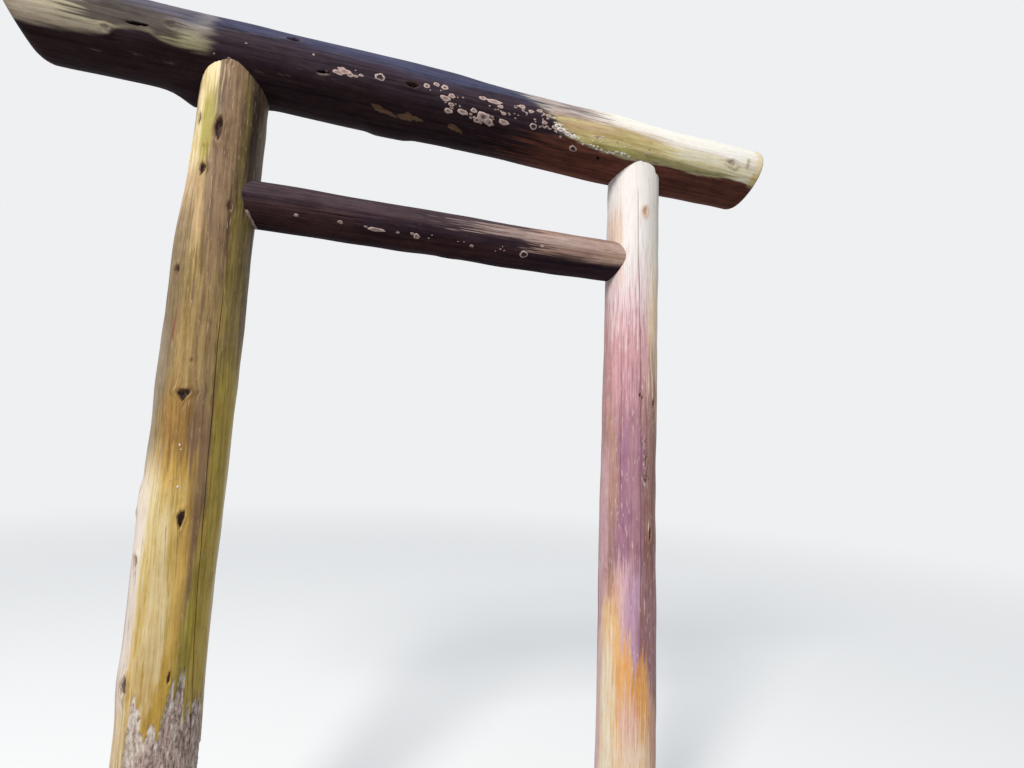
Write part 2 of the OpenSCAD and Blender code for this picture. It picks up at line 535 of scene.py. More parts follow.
def facing(bearing, low, high, soft):
    """The same for bearings, from low turning up to high."""
    middle = (low + high) / 2
    return band(turn(bearing - middle), low - middle, high - middle, soft)


def patch(skin, seed, low, high, fade, left, right, soft, jitter=4.0):
    """A part of the log between two places and two bearings, with edges that waver along
    the grain and thin out in streaks."""
    shift = wander(skin.grain, skin.along, seed, (2, 10), (0.3, 1.4), 12)
    fray = wander(skin.grain, skin.along, seed + 500, (20, 90), (0.15, 0.9), 26)
    bearing = skin.bearing + jitter * (0.6 * shift + 0.3 * fray)
    place = skin.along + 0.5 * fade * fray
    share = band(place, low, high, 1.3 * fade) * facing(bearing, left, right, 1.4 * soft)
    return np.clip(share + 0.9 * share * (1 - share) * fray, 0, 1)


print("band at its edge, half way out and outside:", *band(np.array((0, -0.5, -1)), 0, 1, 1))

# %% The skin of a log
BACK = 90
CHECK_PULL = 60
CHECK_STEP, CHECK_REACH = 0.45, 3.0
BOX_SOFT = 0.003
FAR = 9.0
MARKS = ("knot", "check", "halo", "bare")


class Skin:
    """A log's fine grid of points, its relief, its two shades, and masks for the finish."""

    def __init__(self, log, rings, column_step, shades, checks=()):
        self.log = log
        self.rows = rings
        checks = [np.array(c, float) for c in checks]
        middles = [float(c[:, 1].mean()) for c in checks]
        near = [((m - BACK) % 360 + BACK, CHECK_REACH) for m in middles]
        bearings = spaced(BACK, BACK + 360, column_step, CHECK_STEP, near)[:-1]
        self.along, self.bearing = np.meshgrid(rings, bearings, indexing="ij")
        for check, middle in zip(checks, middles):
            shift = np.interp(self.along, check[:, 0], check[:, 1]) - middle
            apart = np.abs(turn(self.bearing - middle))
            self.bearing = self.bearing + shift * ease(1.15 - apart / CHECK_PULL)
        shape = self.along.shape
        self.relief = np.zeros(shape)
        self.grain = self.bearing.copy()
        self.masks = {name: np.zeros(shape) for name in MARKS}
        self.light = np.broadcast_to(shades[0], (*shape, 3)).copy()
        self.dark = np.broadcast_to(shades[1], (*shape, 3)).copy()
        self.knot_far = np.full(shape, FAR)
        print("skin of", log.node, "with", shape[0], "rings of", shape[1], "points")

    def arc(self, bearing):
        """Distance round the log from a bearing, in metres."""
        return np.radians(turn(self.bearing - bearing)) * self.log.mean

    def mark(self, name, share):
        self.masks[name] = np.maximum(self.masks[name], share)

    def coat(self, share, light, dark):
        """Lays a tone over the wood, weathering and at some places painted sunlight and shade: its lighter
        and its darker shade.
        """
        share = np.clip(share, 0, 1)[..., None]
        self.light += share * (np.array(light) - self.light)
        self.dark += share * (np.array(dark) - self.dark)

    def points(self):
        """The skin's points, eased back where they would stand out of the CAD part's box."""
        radius = self.log.radius(self.along, self.bearing) + self.relief
        points = self.log.skin(self.along, self.bearing, radius)
        low, high = cad_box
        for axis, sign, limit in ((1, -1, -low[1]), (1, 1, high[1]), (2, 1, high[2])):
            beyond = np.maximum(sign * points[..., axis] - limit + BOX_SOFT, 0)
            points[..., axis] -= sign * (beyond - BOX_SOFT * (1 - np.exp(-beyond / BOX_SOFT)))
        return points


print("a skin marks", ", ".join(MARKS), "and stays in the box by easing its last", BOX_SOFT, "m")

# %% [markdown]
# A peeled log is never smooth. Slow swells and fine fibres run along it everywhere. A
# knot is the foot of a branch: it may have sunk, with a collar of swollen wood round it,
# and the grain parts to pass on both sides. A check is a split that opened as the log
# dried. Each is a short function, so that a log's knots and checks are just rows of
# numbers: where they are, how long, wide and deep.

# %% Fibres, knots and checks
def flow(skin, seed, swells, fibres):
    """Slow swells and fine fibres along the grain."""
    skin.relief += swells * wander(skin.grain, skin.along, seed, (1, 9), (0.15, 1.2))
    skin.relief += fibres * wander(skin.grain, skin.along, seed + 1, (18, 62), (0.3, 3))


def knot(skin, place, bearing, length, width, depth=0.0, collar=0.0, point=0.0):
    """A knot of these half sizes: depth sinks it, collar swells the wood round it, and
    point narrows it downwards."""
    u = (skin.along - place) / length
    v = skin.arc(bearing) / width / (1 + point * np.clip(u, -1, 1))
    angle, phase = np.arctan2(u, v), place * 37
    uneven = 0.10 * np.cos(2 * angle + phase) + 0.10 * np.cos(3 * angle - 2 * phase)
    far = np.hypot(u, v) * (1 + uneven + 0.06 * np.cos(7 * angle + 3 * phase))
    skin.relief -= depth * ease((1.1 - far) / 0.5)
    skin.relief += collar * np.exp(-((far - 1.35) / 0.5) ** 2)
    pull = 1.3 / (far ** 2 + 1.3) * np.exp(-((far / 4) ** 2))
    skin.grain = skin.grain - np.degrees(width * v * pull / skin.log.mean)
    skin.mark("knot", ease((1.12 - far) / 0.4) * min(1, 130 * depth))
    skin.mark("halo", np.exp(-((far / 2.0) ** 2)) * min(1, 0.3 + 200 * depth))
    skin.knot_far = np.minimum(skin.knot_far, far)


def check(skin, points, width, depth, fade=0.05, strong=1.0):
    """A drying check along places and bearings, as a groove that fades at its ends."""
    places, bearings = np.array(points, float).T
    path = np.interp(skin.along, places, bearings)
    apart = np.abs(np.radians(turn(skin.bearing - path))) * skin.log.mean
    ends = ease((skin.along - places[0]) / fade) * ease((places[-1] - skin.along) / fade)
    groove = np.clip(1 - apart / width, 0, 1) * ends
    skin.relief -= depth * groove
    skin.mark("check", strong * ease(groove * 1.6))


trial = Skin(nuki_log, np.linspace(0.5, 0.6, 21), 4.0, ((0.5, 0.4, 0.3), (0.3, 0.2, 0.1)))
knot(trial, 0.55, 0, 0.02, 0.012, 0.005, 0.002)
depths = np.array((trial.relief.min(), trial.relief.max()))
print("a trial knot, lowest and highest in millimetres:", *(1000 * depths).round(1))

# %% [markdown]
# The broad tones of the wood are laid on as coats, each over a part of the log between
# two places and two bearings, one after another as a painter would. Some coats are
# painted sunlight and shade. Every coat has a lighter and a darker shade, between which
# the finish picks along the grain. Its edges waver and thin out in streaks, because
# weather works along the fibres.

# %% Coats
def lay(skin, coats, rows, start=0.0, within=1.0):
    """Lays coats one by one. A row has the seed of its edges, a strength, the places and
    bearings between which it lies with how softly each fades, perhaps how much it wavers,
    and last a tone: its two shades, or their name."""
    for seed, strength, low, high, *spread, tone in rows:
        light, dark = coats.get(tone, tone)
        share = patch(skin, seed, low - start, high - start, *spread)
        skin.coat(strength * within * share, light, dark)
    print(len(rows), "coats on", skin.log.node)


lay(trial, {}, [(1, 1.0, 0.5, 0.6, 0.1, -90, 90, 9, ((1, 1, 1), (1, 1, 1)))])

# %% [markdown]
# A skin becomes a mesh once it has its relief and its coats. Quads join ring to ring, and
# at each end a few more rings run in to a middle point. The shades and masks go with it
# as attributes of its points, where the finish will read them.

# %% From a skin to a mesh
CREASE = math.radians(50)


def joined(first, second, count, flip):
    """The quads between two closed rings of points."""
    nexts = np.roll(np.arange(count), -1)
    here = np.arange(count)
    quads = np.stack([first + here, first + nexts, second + nexts, second + here], 1)
    return (quads[:, ::-1] if flip else quads).tolist()


def closed_faces(layers, count, flip):
    """All faces of a log: quads from ring to ring, and a fan at each end."""
    faces = [tuple(q) for i in range(layers - 1) for q in joined(i * count, (i + 1) * count, count, flip)]
    start, end, last = layers * count, layers * count + 1, (layers - 1) * count
    for j in range(count):
        k = (j + 1) % count
        for fan in ((start, k, j), (end, last + j, last + k)):
            faces.append(fan[::-1] if flip else fan)
    return faces


def add_attribute(mesh, name, kind, values):
    key = {"FLOAT_COLOR": "color", "FLOAT_VECTOR": "vector", "FLOAT": "value"}[kind]
    made = mesh.attributes.new(name, kind, "POINT")
    made.data.foreach_set(key, np.asarray(values, np.float32).ravel())


def add_piece(mesh, crease=None):
    """Puts a mesh into the scene as a smooth piece that rides on the gate's one body."""
    mesh.polygons.foreach_set("use_smooth", np.ones(len(mesh.polygons), bool))
    if crease is not None:
        mesh.set_sharp_from_angle(angle=crease)
    mesh.update()
    piece = bpy.data.objects.new(mesh.name, mesh)
    bpy.context.scene.collection.objects.link(piece)
    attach(piece, "root")
    print(mesh.name, "has", sum(len(p.vertices) - 2 for p in mesh.polygons), "triangles")
    return piece


print("four quads between two rings:", joined(0, 4, 4, False))

# %% A log as a piece
def opaque(shade):
    """A shade with a fourth number, because colour attributes have alpha."""
    return np.concatenate([shade, np.ones((*shade.shape[:2], 1))], -1)


def skin_attributes(skin):
    """What the finish reads at each point of the skin."""
    angle, size = np.radians(skin.grain), skin.log.mean
    return [
        ("grain", "FLOAT_VECTOR", np.stack([np.cos(angle) * size, np.sin(angle) * size, skin.along], -1)),
        ("marks", "FLOAT_COLOR", np.stack([skin.masks[m] for m in MARKS], -1)),
        ("light", "FLOAT_COLOR", opaque(skin.light)),
        ("dark", "FLOAT_COLOR", opaque(skin.dark)),
        ("knot_far", "FLOAT", skin.knot_far),
    ]


def build_log(name, skin, foot_rings, head_rings, finishes):
    """Makes the piece: the skin, and at each end rings that run in to a middle point."""
    log, grid = skin.log, skin.points()
    rings, count = grid.shape[:2]
    flip = float(np.cross(log.zero, log.side) @ log.run) < 0
    foot, head = foot_rings(grid[0])[::-1], head_rings(grid[-1])
    layers = [*foot, *grid, *head]
    vertices = np.concatenate([*layers, [layers[0].mean(0)], [layers[-1].mean(0)]])
    mesh = bpy.data.meshes.new(name)
    mesh.from_pydata(vertices.tolist(), [], closed_faces(len(layers), count, flip))

    def spread(values):
        """Carries the values of the first and the last ring over the ends."""
        flat = np.asarray(values, float).reshape(rings * count, -1)
        first, final = flat[:count], flat[-count:]
        return np.concatenate([*[first] * len(foot), flat, *[final] * len(head), flat[:1], flat[-1:]])

    for attribute, kind, values in skin_attributes(skin):
        add_attribute(mesh, attribute, kind, spread(values))
    out = vertices - log.start
    across = np.stack([out @ log.zero, out @ log.side, 0 * out[:, 0]], 1)
    add_attribute(mesh, "across", "FLOAT_VECTOR", across)
    for finish in finishes:
        mesh.materials.append(finish)
    ring_of_face = np.repeat(np.arange(len(layers) - 1), count)
    ends = (ring_of_face < len(foot)) | (ring_of_face >= len(foot) + rings - 1)
    index = np.concatenate([ends, np.ones(2 * count, bool)]).astype(np.int32)
    mesh.polygons.foreach_set("material_index", index)
    piece = add_piece(mesh, CREASE)
    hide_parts(log.node)
    return piece


print("attributes of a skin:", [row[0] for row in skin_attributes(trial)])

# %% [markdown]
# ## Weathered wood
# Peeled logs differ from place to place far more than sawn boards do, so the broad
# colours are painted on the mesh itself: every point holds a lighter and a darker shade,
# laid on as coats further down, some of which are painted sunlight and shade. The material
# then mixes the two along the grain, with streaks of three widths, and adds what is too
# small for the mesh: fine dark lines, pale flecks, the rings of a knot, crumbling fibres,
# and the roughness and bump of each.

# %% A finish for peeled logs
def peeled_finish(name, tones, rough, gloss):
    """Weathered wood that mixes the two shades of its skin along the grain."""
    f = Finish(name)
    grain = f.attribute("grain")
    light, dark = f.attribute("light", "Color"), f.attribute("dark", "Color")
    broad = f.noise(f.stretch(grain, (1, 1, 0.10)), 17, 3)
    middle = f.noise(f.stretch(grain, (1, 1, 0.045)), 90, 4, 0.6)
    fine = f.noise(f.stretch(grain, (1, 1, 0.03)), 420, 3, 0.65)
    mottle = f.noise(f.stretch(grain, (1, 1, 0.6)), 34, 5, 0.65)
    knot_mark, check_mark, halo, bare = f.parts("marks")

    # Streaks of the two shades, with fine dark lines and pale flecks
    streak = middle * 0.40 + broad * 0.22 + mottle * 0.23 + fine * 0.15
    colour = f.mix(light, dark, streak.step(0.41, 0.60))
    colour = f.mix(colour, tones["line"], fine.step(0.56, 0.70) * tones["line_share"])
    dash = f.noise(f.stretch(grain, (1, 1, 0.09)), 300, 1, 0.4)
    colour = f.mix(colour, tones["fleck"], dash.step(0.66, 0.74) * tones["fleck_share"])

    # Crumbling fibres where the skin has gone
    thread = f.noise(f.stretch(grain, (1, 1, 0.05)), 330, 3, 0.7)
    crumb = f.noise(f.stretch(grain, (1, 1, 0.45)), 150, 5, 0.7)
    ragged = f.mix(light, dark, (crumb * 0.62 + thread * 0.38).step(0.45, 0.57))
    ragged = f.mix(ragged, tones["bare_deep"], crumb.step(0.59, 0.70) * 0.55)
    colour = f.mix(colour, ragged, (bare + (thread - 0.5) * 0.5).step(0.35, 0.65))

    # A knot's stain and rings, its dark heart, and the dark of a check
    far = f.attribute("knot_far", "Fac")
    ring = far.math("SINE", far * 21 + mottle * 11)
    stain = halo * (0.45 + 0.16 * ring) + (streak - 0.5) * 0.8
    colour = f.mix(colour, tones["stain"], stain.step(0.12, 0.62) * 0.6)
    heart = (fine * 0.5 + mottle * 0.5).step(0.44, 0.60)
    heart = f.mix(tones["knot"], tones["knot_light"], heart)
    colour = f.mix(colour, heart, (knot_mark + (mottle - 0.5) * 0.5).step(0.22, 0.72))
    colour = f.mix(colour, tones["check"], check_mark.step(0.08, 0.7) * 0.96)

    relief = middle * 0.40 + fine * 0.30 + mottle * 0.12 + bare * (thread * 0.9 + crumb * 2.2)
    f.put("Base Color", colour)
    f.put("Roughness", rough + (middle - 0.5) * 0.25 + bare * 0.2 + knot_mark * 0.15)
    f.put("Normal", f.bump(relief, 0.5, 0.0016))
    f.put("Specular IOR Level", gloss)
    return f.material


print("masks that the finish reads:", ", ".join(MARKS))

# %% A finish for sawn ends
def end_finish(name, tones):
    """Sawn end grain: year rings round the pith, and a grey weathered face."""
    f = Finish(name)
    across = f.attribute("across")
    year = f.length(across) * 420 + f.noise(across, 9, 2) * 9
    ring = year.math("PINGPONG", year, 1.0)
    speck = f.noise(across, 240, 3)
    stain = f.noise(across, 14, 4) + speck * 0.3
    colour = f.mix(tones["end_light"], tones["end_dark"], ring.step(0.25, 0.95) * 0.7)
    f.put("Base Color", f.mix(colour, tones["stain"], stain.step(0.55, 0.85)))
    f.put("Roughness", 0.75 + speck * 0.15)
    f.put("Normal", f.bump(ring * 0.5 + speck * 0.5, 0.5, 0.0012))
    return f.material


def log_finishes(log, tones, rough, gloss):
    """The two finishes of a log: its peeled skin and its sawn ends."""
    made = [peeled_finish(log + "_wood", tones, rough, gloss), end_finish(log + "_end", tones)]
    print("finishes:", [(m.name, len(m.node_tree.nodes), "nodes") for m in made])
    return made


# %% [markdown]
# The coats give a log its broad tones. What is smaller than a coat is the same all over
# one log, so it is kept as a short list of small tones: of its fine lines and flecks,
# torn fibres, the stain round its knots, their hearts, its checks and its sawn ends.

# %% Small tones of the four logs
LEFT_POST_TONES = {
    "line": (0.12, 0.065, 0.03), "line_share": 0.5,
    "fleck": (0.70, 0.55, 0.34), "fleck_share": 0.4,
    "bare_deep": (0.085, 0.050, 0.042), "stain": (0.20, 0.11, 0.045),
    "knot": (0.055, 0.030, 0.024), "knot_light": (0.23, 0.125, 0.08),
    "check": (0.20, 0.085, 0.05),
    "end_light": (0.36, 0.27, 0.17), "end_dark": (0.20, 0.13, 0.08),
}
RIGHT_POST_TONES = {
    "line": (0.30, 0.14, 0.13), "line_share": 0.45,
    "fleck": (0.90, 0.74, 0.66), "fleck_share": 0.7,
    "bare_deep": (0.05, 0.025, 0.02), "stain": (0.42, 0.22, 0.12),
    "knot": (0.025, 0.012, 0.010), "knot_light": (0.20, 0.10, 0.06),
    "check": (0.19, 0.09, 0.085),
    "end_light": (0.46, 0.33, 0.24), "end_dark": (0.27, 0.16, 0.12),
}
KASAGI_TONES = {
    "line": (0.014, 0.008, 0.009), "line_share": 0.30,
    "fleck": (0.10, 0.07, 0.08), "fleck_share": 0.25,
    "bare_deep": (0.10, 0.045, 0.02), "stain": (0.10, 0.055, 0.04),
    "knot": (0.010, 0.006, 0.005), "knot_light": (0.07, 0.038, 0.028),
    "check": (0.010, 0.006, 0.006),
    "end_light": (0.36, 0.30, 0.22), "end_dark": (0.18, 0.13, 0.09),
}
NUKI_TONES = {
    "line": (0.014, 0.008, 0.009), "line_share": 0.45,
    "fleck": (0.14, 0.10, 0.10), "fleck_share": 0.30,
    "bare_deep": (0.08, 0.04, 0.02), "stain": (0.08, 0.04, 0.03),
    "knot": (0.010, 0.006, 0.006), "knot_light": (0.07, 0.04, 0.03),
    "check": (0.010, 0.006, 0.006),
    "end_light": (0.30, 0.22, 0.16), "end_dark": (0.15, 0.10, 0.07),
}
print("small tones of a log:", ", ".join(LEFT_POST_TONES))

# %% [markdown]
# ## The heads of the posts
# Each post is cut to a fish mouth that cups the underside of the top log. The height of
# the cut at any point is the height of the top log's underside there, so the rings of
# the post's head are simply stretched up to it, and a few more rings run inwards under
# the log. The tip of the right post's front horn has broken off.

# %% The underside of the top log
def underside(x, y):
    """Height of the top log's underside over points of the frame."""
    radius = np.full(np.shape(x), kasagi_log.mean)
    for _ in range(5):
        drop = np.sqrt(np.maximum(radius ** 2 - y ** 2, 0))
        bearing = np.degrees(np.arctan2(y, -drop))
        radius = kasagi_log.radius(x - kasagi_log.start[0], bearing)
    return kasagi_log.start[2] - drop


for foot in (LEFT_FOOT, RIGHT_FOOT):
    print("underside over a post:", underside(np.array([foot.x]), np.array([0.0])).round(3), "m")

# %% Fish mouths
MOUTH_BITE = 0.0015
HEAD_KNEE = 2.42
HEAD_INNER = (0.985, 0.94, 0.85, 0.7, 0.5, 0.25)
UNBROKEN = 9.0
BREAK_SLOPE = 0.02
# Bearings round the right post's head, and the height at which its horn has broken off
BREAK_BEARINGS = (-180, -112, -104, -99, -84, -72, -64, -60, -50, -40, -32, -20, 180)
BREAK_HEIGHTS = (9, 9, 2.590, 2.578, 2.577, 2.574, 2.568, 2.549, 2.552, 2.545, 2.56, 9, 9)


def no_break(bearing):
    return np.full(np.shape(bearing), UNBROKEN)


def tip_break(bearing):
    """Height at which the right post's front horn has broken off, by bearing."""
    return np.interp(turn(bearing), BREAK_BEARINGS, BREAK_HEIGHTS)


def fit_head(skin, broken):
    """Stretches the post's top rings up to the underside of the top log."""
    log, rim_bearing = skin.log, skin.bearing[-1]
    end = skin.along[-1, 0]
    for _ in range(3):
        radius = log.radius(skin.along[-1], rim_bearing) + skin.relief[-1]
        rim = log.skin(skin.along[-1], rim_bearing, radius)
        top = np.minimum(underside(rim[:, 0], rim[:, 1]) + MOUTH_BITE, broken(rim_bearing))
        share = np.clip((skin.rows - HEAD_KNEE) / (end - HEAD_KNEE), 0, 1)[:, None]
        stretched = HEAD_KNEE + share * (top - HEAD_KNEE)
        skin.along = np.where(share > 0, stretched, skin.rows[:, None])
    print(log.node, "head from", skin.along[-1].min().round(3), "to", skin.along[-1].max().round(3))


# %% Rings over the ends
FOOT_SHARES = (0.97, 0.75, 0.4)


def mouth_rings(skin, broken):
    """Rings that run in from the rim of the head, under the top log."""
    def rings(rim):
        middle = rim.mean(0)
        made = []
        for share in HEAD_INNER:
            ring = middle + share * (rim - middle)
            saddle = underside(ring[:, 0], ring[:, 1]) + MOUTH_BITE
            limit = broken(skin.bearing[-1]) + BREAK_SLOPE * (1 - share)
            ring[:, 2] = np.minimum(saddle, limit)
            made.append(ring)
        return made
    return rings


def flat_rings(rim):
    """Rings that run in over a flat end."""
    middle = rim.mean(0)
    return [middle + share * (rim - middle) for share in FOOT_SHARES]


print(len(HEAD_INNER), "rings in a fish mouth and", len(FOOT_SHARES), "over a flat foot")

# %% [markdown]
# ## Left post
# The sunny post: smooth yellow-tan wood with green streaks, knots of every size, and one
# long check that winds with the grain from the head down to the rot. Its knots and its
# check were read off the post one by one. Those of its back were made up like them.

# %% Left post's knots and checks
SPIRAL_LEFT = 22.0
LONG_CHECK = [
    (0.60, -20), (0.76, -26), (0.98, -37), (1.20, -43), (1.50, -49), (1.76, -54), (1.96, -55),
]
HEAD_CHECK = [(2.43, -90), (2.50, -95), (2.60, -99)]
# Place, bearing, half length, half width, depth, collar and point of each knot
LEFT_KNOTS = [
    (2.380, -89, 0.030, 0.0110, 0.010, 0.0016, 0.25),
    (2.402, -88, 0.014, 0.0085, 0.004, 0.0006, 0.0),
    (2.252, -108, 0.019, 0.0095, 0.010, 0.0014, 0.55),
    (2.153, -60, 0.013, 0.0060, 0.006, 0.0010, 0.2),
    (2.415, -131, 0.024, 0.0085, 0.005, 0.0012, 0.0),
    (2.325, -113, 0.005, 0.0045, 0.003, 0.0004, 0.0),
    (2.594, -87, 0.007, 0.0050, 0.002, 0.0006, 0.0),
    (2.588, -80, 0.006, 0.0040, 0.002, 0.0006, 0.0),
    (1.943, -127, 0.022, 0.0090, 0.007, 0.0022, 0.3),
    (1.693, -86, 0.006, 0.0045, 0.003, 0.0005, 0.0),
    (1.610, -84, 0.004, 0.0035, 0.004, 0.0003, 0.0),
    (1.598, -92, 0.018, 0.0115, 0.012, 0.0020, 0.65),
    (1.310, -161, 0.024, 0.0110, 0.006, 0.0030, 0.0),
    (1.268, -75, 0.024, 0.0068, 0.011, 0.0020, 0.45),
    (1.156, -133, 0.016, 0.0075, 0.004, 0.0026, 0.2),
    (1.060, -110, 0.014, 0.0030, 0.002, 0.0004, 0.0),
    (0.850, -128, 0.020, 0.0110, 0.005, 0.0034, 0.0),
    (0.868, -66, 0.015, 0.0032, 0.006, 0.0006, 0.0),
    (1.050, 70, 0.024, 0.0120, 0.009, 0.0020, 0.2),
    (1.720, 100, 0.020, 0.0110, 0.007, 0.0016, 0.3),
    (0.420, 10, 0.022, 0.0110, 0.007, 0.0014, 0.0),
    (2.180, 140, 0.018, 0.0100, 0.008, 0.0014, 0.2),
]
print(len(LEFT_KNOTS), "knots, and a check of", round(LONG_CHECK[-1][0] - LONG_CHECK[0][0], 2), "m")

# %% Left post's skin
LEFT_POST_SHADES = ((0.42, 0.285, 0.120), (0.23, 0.145, 0.050))
ROT_ZONE = (0.74, 0.13)

places = [(k[0], k[2] * 2) for k in LEFT_KNOTS] + [ROT_ZONE]
rings = spaced(0, POST_TOP, 0.0135, 0.0054, places)
left_skin = Skin(left_post_log, rings, 1.50, LEFT_POST_SHADES, [LONG_CHECK])
left_skin.grain = left_skin.grain + SPIRAL_LEFT * left_skin.along
flow(left_skin, 11, 0.0007, 0.00018)
for row in LEFT_KNOTS:
    knot(left_skin, *row)
check(left_skin, LONG_CHECK, 0.0015, 0.003, 0.12, 0.7)
check(left_skin, HEAD_CHECK, 0.0014, 0.002, 0.05, 0.3)
fit_head(left_skin, no_break)

# %% [markdown]
# The left post's tones run from its greenish head, darkened on its right side and under
# the top log by painted shade, over tan wood to a bleached and yellow lower half, whose
# cream left side is partly painted sunlight. They are named once and laid from the unseen
# back to the front, and from the head down.

# %% Coats on the left post's back and head
LEFT_COATS = {
    "straw": ((0.88, 0.73, 0.44), (0.62, 0.47, 0.19)),
    "cream": ((0.96, 0.85, 0.64), (0.84, 0.66, 0.36)),
    "ochre": ((0.80, 0.51, 0.13), (0.56, 0.32, 0.055)),
    "olive": ((0.46, 0.34, 0.085), (0.23, 0.16, 0.030)),
    "moss": ((0.42, 0.37, 0.05), (0.28, 0.24, 0.03)),
    "umber": ((0.24, 0.15, 0.085), (0.105, 0.060, 0.038)),
    "brown": ((0.12, 0.075, 0.045), (0.055, 0.033, 0.022)),
    "plum": ((0.30, 0.175, 0.105), (0.18, 0.100, 0.060)),
    "rust": ((0.42, 0.225, 0.05), (0.27, 0.13, 0.03)),
    "chalk": ((0.90, 0.80, 0.72), (0.80, 0.66, 0.56)),
    "mauve": ((0.46, 0.32, 0.33), (0.33, 0.21, 0.21)),
    "silver": ((0.42, 0.36, 0.30), (0.30, 0.24, 0.19)),
}
lay(left_skin, LEFT_COATS, [
    # The unseen back and left: drier, greyer and a little green
    (101, 0.6, 0.0, 2.7, 0.3, 60, 175, 40, "silver"),
    (102, 0.5, 0.3, 2.2, 0.4, 20, 110, 40, 12, "olive"),
    # Head: straw on the left, brown on the right where shade is painted, green between its knots
    (103, 1, 2.10, 2.70, 0.16, -185, -103, 6, "straw"),
    (104, 0.75, 2.12, 2.46, 0.07, -117, -96, 6, "moss"),
    (105, 0.55, 1.98, 2.34, 0.10, -104, -86, 7, "olive"),
    (106, 0.9, 2.06, 2.70, 0.14, -93, -20, 7, "umber"),
    (107, 0.8, 2.08, 2.56, 0.12, -84, -62, 6, ((0.33, 0.215, 0.115), (0.15, 0.085, 0.050))),
    (108, 0.8, 2.05, 2.62, 0.10, -50, 60, 8, 6, "brown"),
    # Painted shade: brown over the right side of the head
    (109, 0.85, 2.06, 2.50, 0.06, -44, -28, 5, 3, ((0.045, 0.028, 0.02), (0.024, 0.014, 0.011))),
    # Painted shade: a near-black stripe down the right flank of the head
    (110, 0.3, 2.22, 2.52, 0.08, -55, -47, 3, "olive"),
    (111, 0.5, 2.52, 2.58, 0.02, -92.5, -91.5, 1, 1, "straw"),
    (132, 0.8, 2.04, 2.24, 0.05, -185, -104, 7, ((0.64, 0.44, 0.26), (0.46, 0.29, 0.15))),
    # Painted shade under the top log, on the left of the head
    (133, 0.6, 2.42, 2.64, 0.05, -200, -150, 6, ((0.24, 0.12, 0.16), (0.14, 0.07, 0.09))),
    # Painted shade round the tie log's joint, on the right
    (138, 0.8, 1.98, 2.30, 0.05, -38, 20, 6, 3, ((0.075, 0.045, 0.036), (0.038, 0.023, 0.020))),
])

# %% Coats on its middle
lay(left_skin, LEFT_COATS, [
    # Below the tie log: tan with painted shade on its left, olive along the right side, and brown painted
    # shade at its right edge
    (112, 0.85, 1.60, 2.06, 0.14, -200, -114, 10, ((0.25, 0.175, 0.09), (0.145, 0.095, 0.045))),
    (113, 0.35, 1.45, 1.75, 0.12, -190, -140, 10, "silver"),
    (114, 0.10, 1.60, 2.10, 0.12, -112, -98, 7, "ochre"),
    (115, 0.7, 0.80, 2.10, 0.15, -50, 5, 7, "olive"),
    (134, 0.4, 1.35, 2.05, 0.15, -40, -30, 4, 8, "umber"),
    (135, 0.5, 1.20, 1.90, 0.15, -18, -12, 3, 8, ((0.62, 0.44, 0.15), (0.42, 0.27, 0.07))),
    # Painted shade along the right edge
    (116, 0.75, 1.45, 2.15, 0.12, -16, 30, 7, "brown"),
    (117, 0.2, 1.50, 2.00, 0.15, -70, -60, 4, 8, "umber"),
    (137, 0.2, 1.55, 2.08, 0.15, -86, -78, 3, 8, ((0.27, 0.165, 0.09), (0.15, 0.085, 0.045))),
    # Under the three-cornered knot: rust, and plum along the check
    (118, 0.7, 1.42, 1.58, 0.06, -114, -84, 9, "rust"),
    (119, 0.75, 1.12, 1.52, 0.12, -74, -47, 7, 3, "plum"),
])

# %% Coats on its bleached lower half, partly painted sunlight
lay(left_skin, LEFT_COATS, [
    # The bleached left side, chalky at its edge and ochre further in
    (120, 0.8, 0.78, 1.36, 0.09, -140, -66, 9, "ochre"),
])
# The cream, partly painted sunlight on the bleached left side, thins out upwards
below = ease((1.50 - left_skin.along) / 0.22)
lay(left_skin, LEFT_COATS, [
    (121, 0.97, 1.16, 1.70, 0.10, -172, -118, 12, 3, "cream"),
], within=below)
lay(left_skin, LEFT_COATS, [
    # Cream lower down the left side, partly painted sunlight
    (122, 0.7, 0.80, 1.22, 0.08, -172, -126, 8, 3, "cream"),
    (123, 0.6, 0.90, 1.30, 0.08, -116, -80, 9, ((0.76, 0.58, 0.22), (0.58, 0.41, 0.11))),
    (124, 0.9, 0.72, 1.28, 0.10, -200, -129, 5, 2, "chalk"),
    (125, 0.8, 0.40, 0.80, 0.10, -210, -146, 6, 3, "mauve"),
    (139, 0.45, 0.80, 1.30, 0.10, -210, -154, 5, 3, "mauve"),
    (126, 0.85, 0.86, 1.60, 0.12, -42, 4, 6, ((0.68, 0.50, 0.105), (0.44, 0.31, 0.048))),
    (127, 0.45, 0.82, 1.02, 0.07, -58, -45, 4, "moss"),
    (128, 0.75, 0.60, 0.90, 0.06, -104, -66, 7, ((0.62, 0.39, 0.07), (0.40, 0.23, 0.035))),
    (129, 0.8, 0.30, 0.74, 0.07, -195, -112, 7, ((0.86, 0.68, 0.40), (0.60, 0.42, 0.20))),
    (136, 0.4, 0.85, 1.24, 0.10, -110, -84, 3, 9, "cream"),
    (130, 0.8, 1.76, 1.83, 0.015, -121, -118, 1.5, 1, ((0.22, 0.08, 0.05), (0.15, 0.05, 0.035))),
    (131, 0.5, 0.70, 1.45, 0.12, -4, 12, 3, 2, "cream"),
])

# %% [markdown]
# Ground damp has rotted the foot of the post. The smooth skin has fallen away up to a
# ragged line, which rises in fingers where the skin still holds on. Under it the wood is
# grey and crumbling. The line's height is known at some bearings and wavers in between.
# Below it the wood is set back, roughened with fibres and crumbs, and marked as bare.

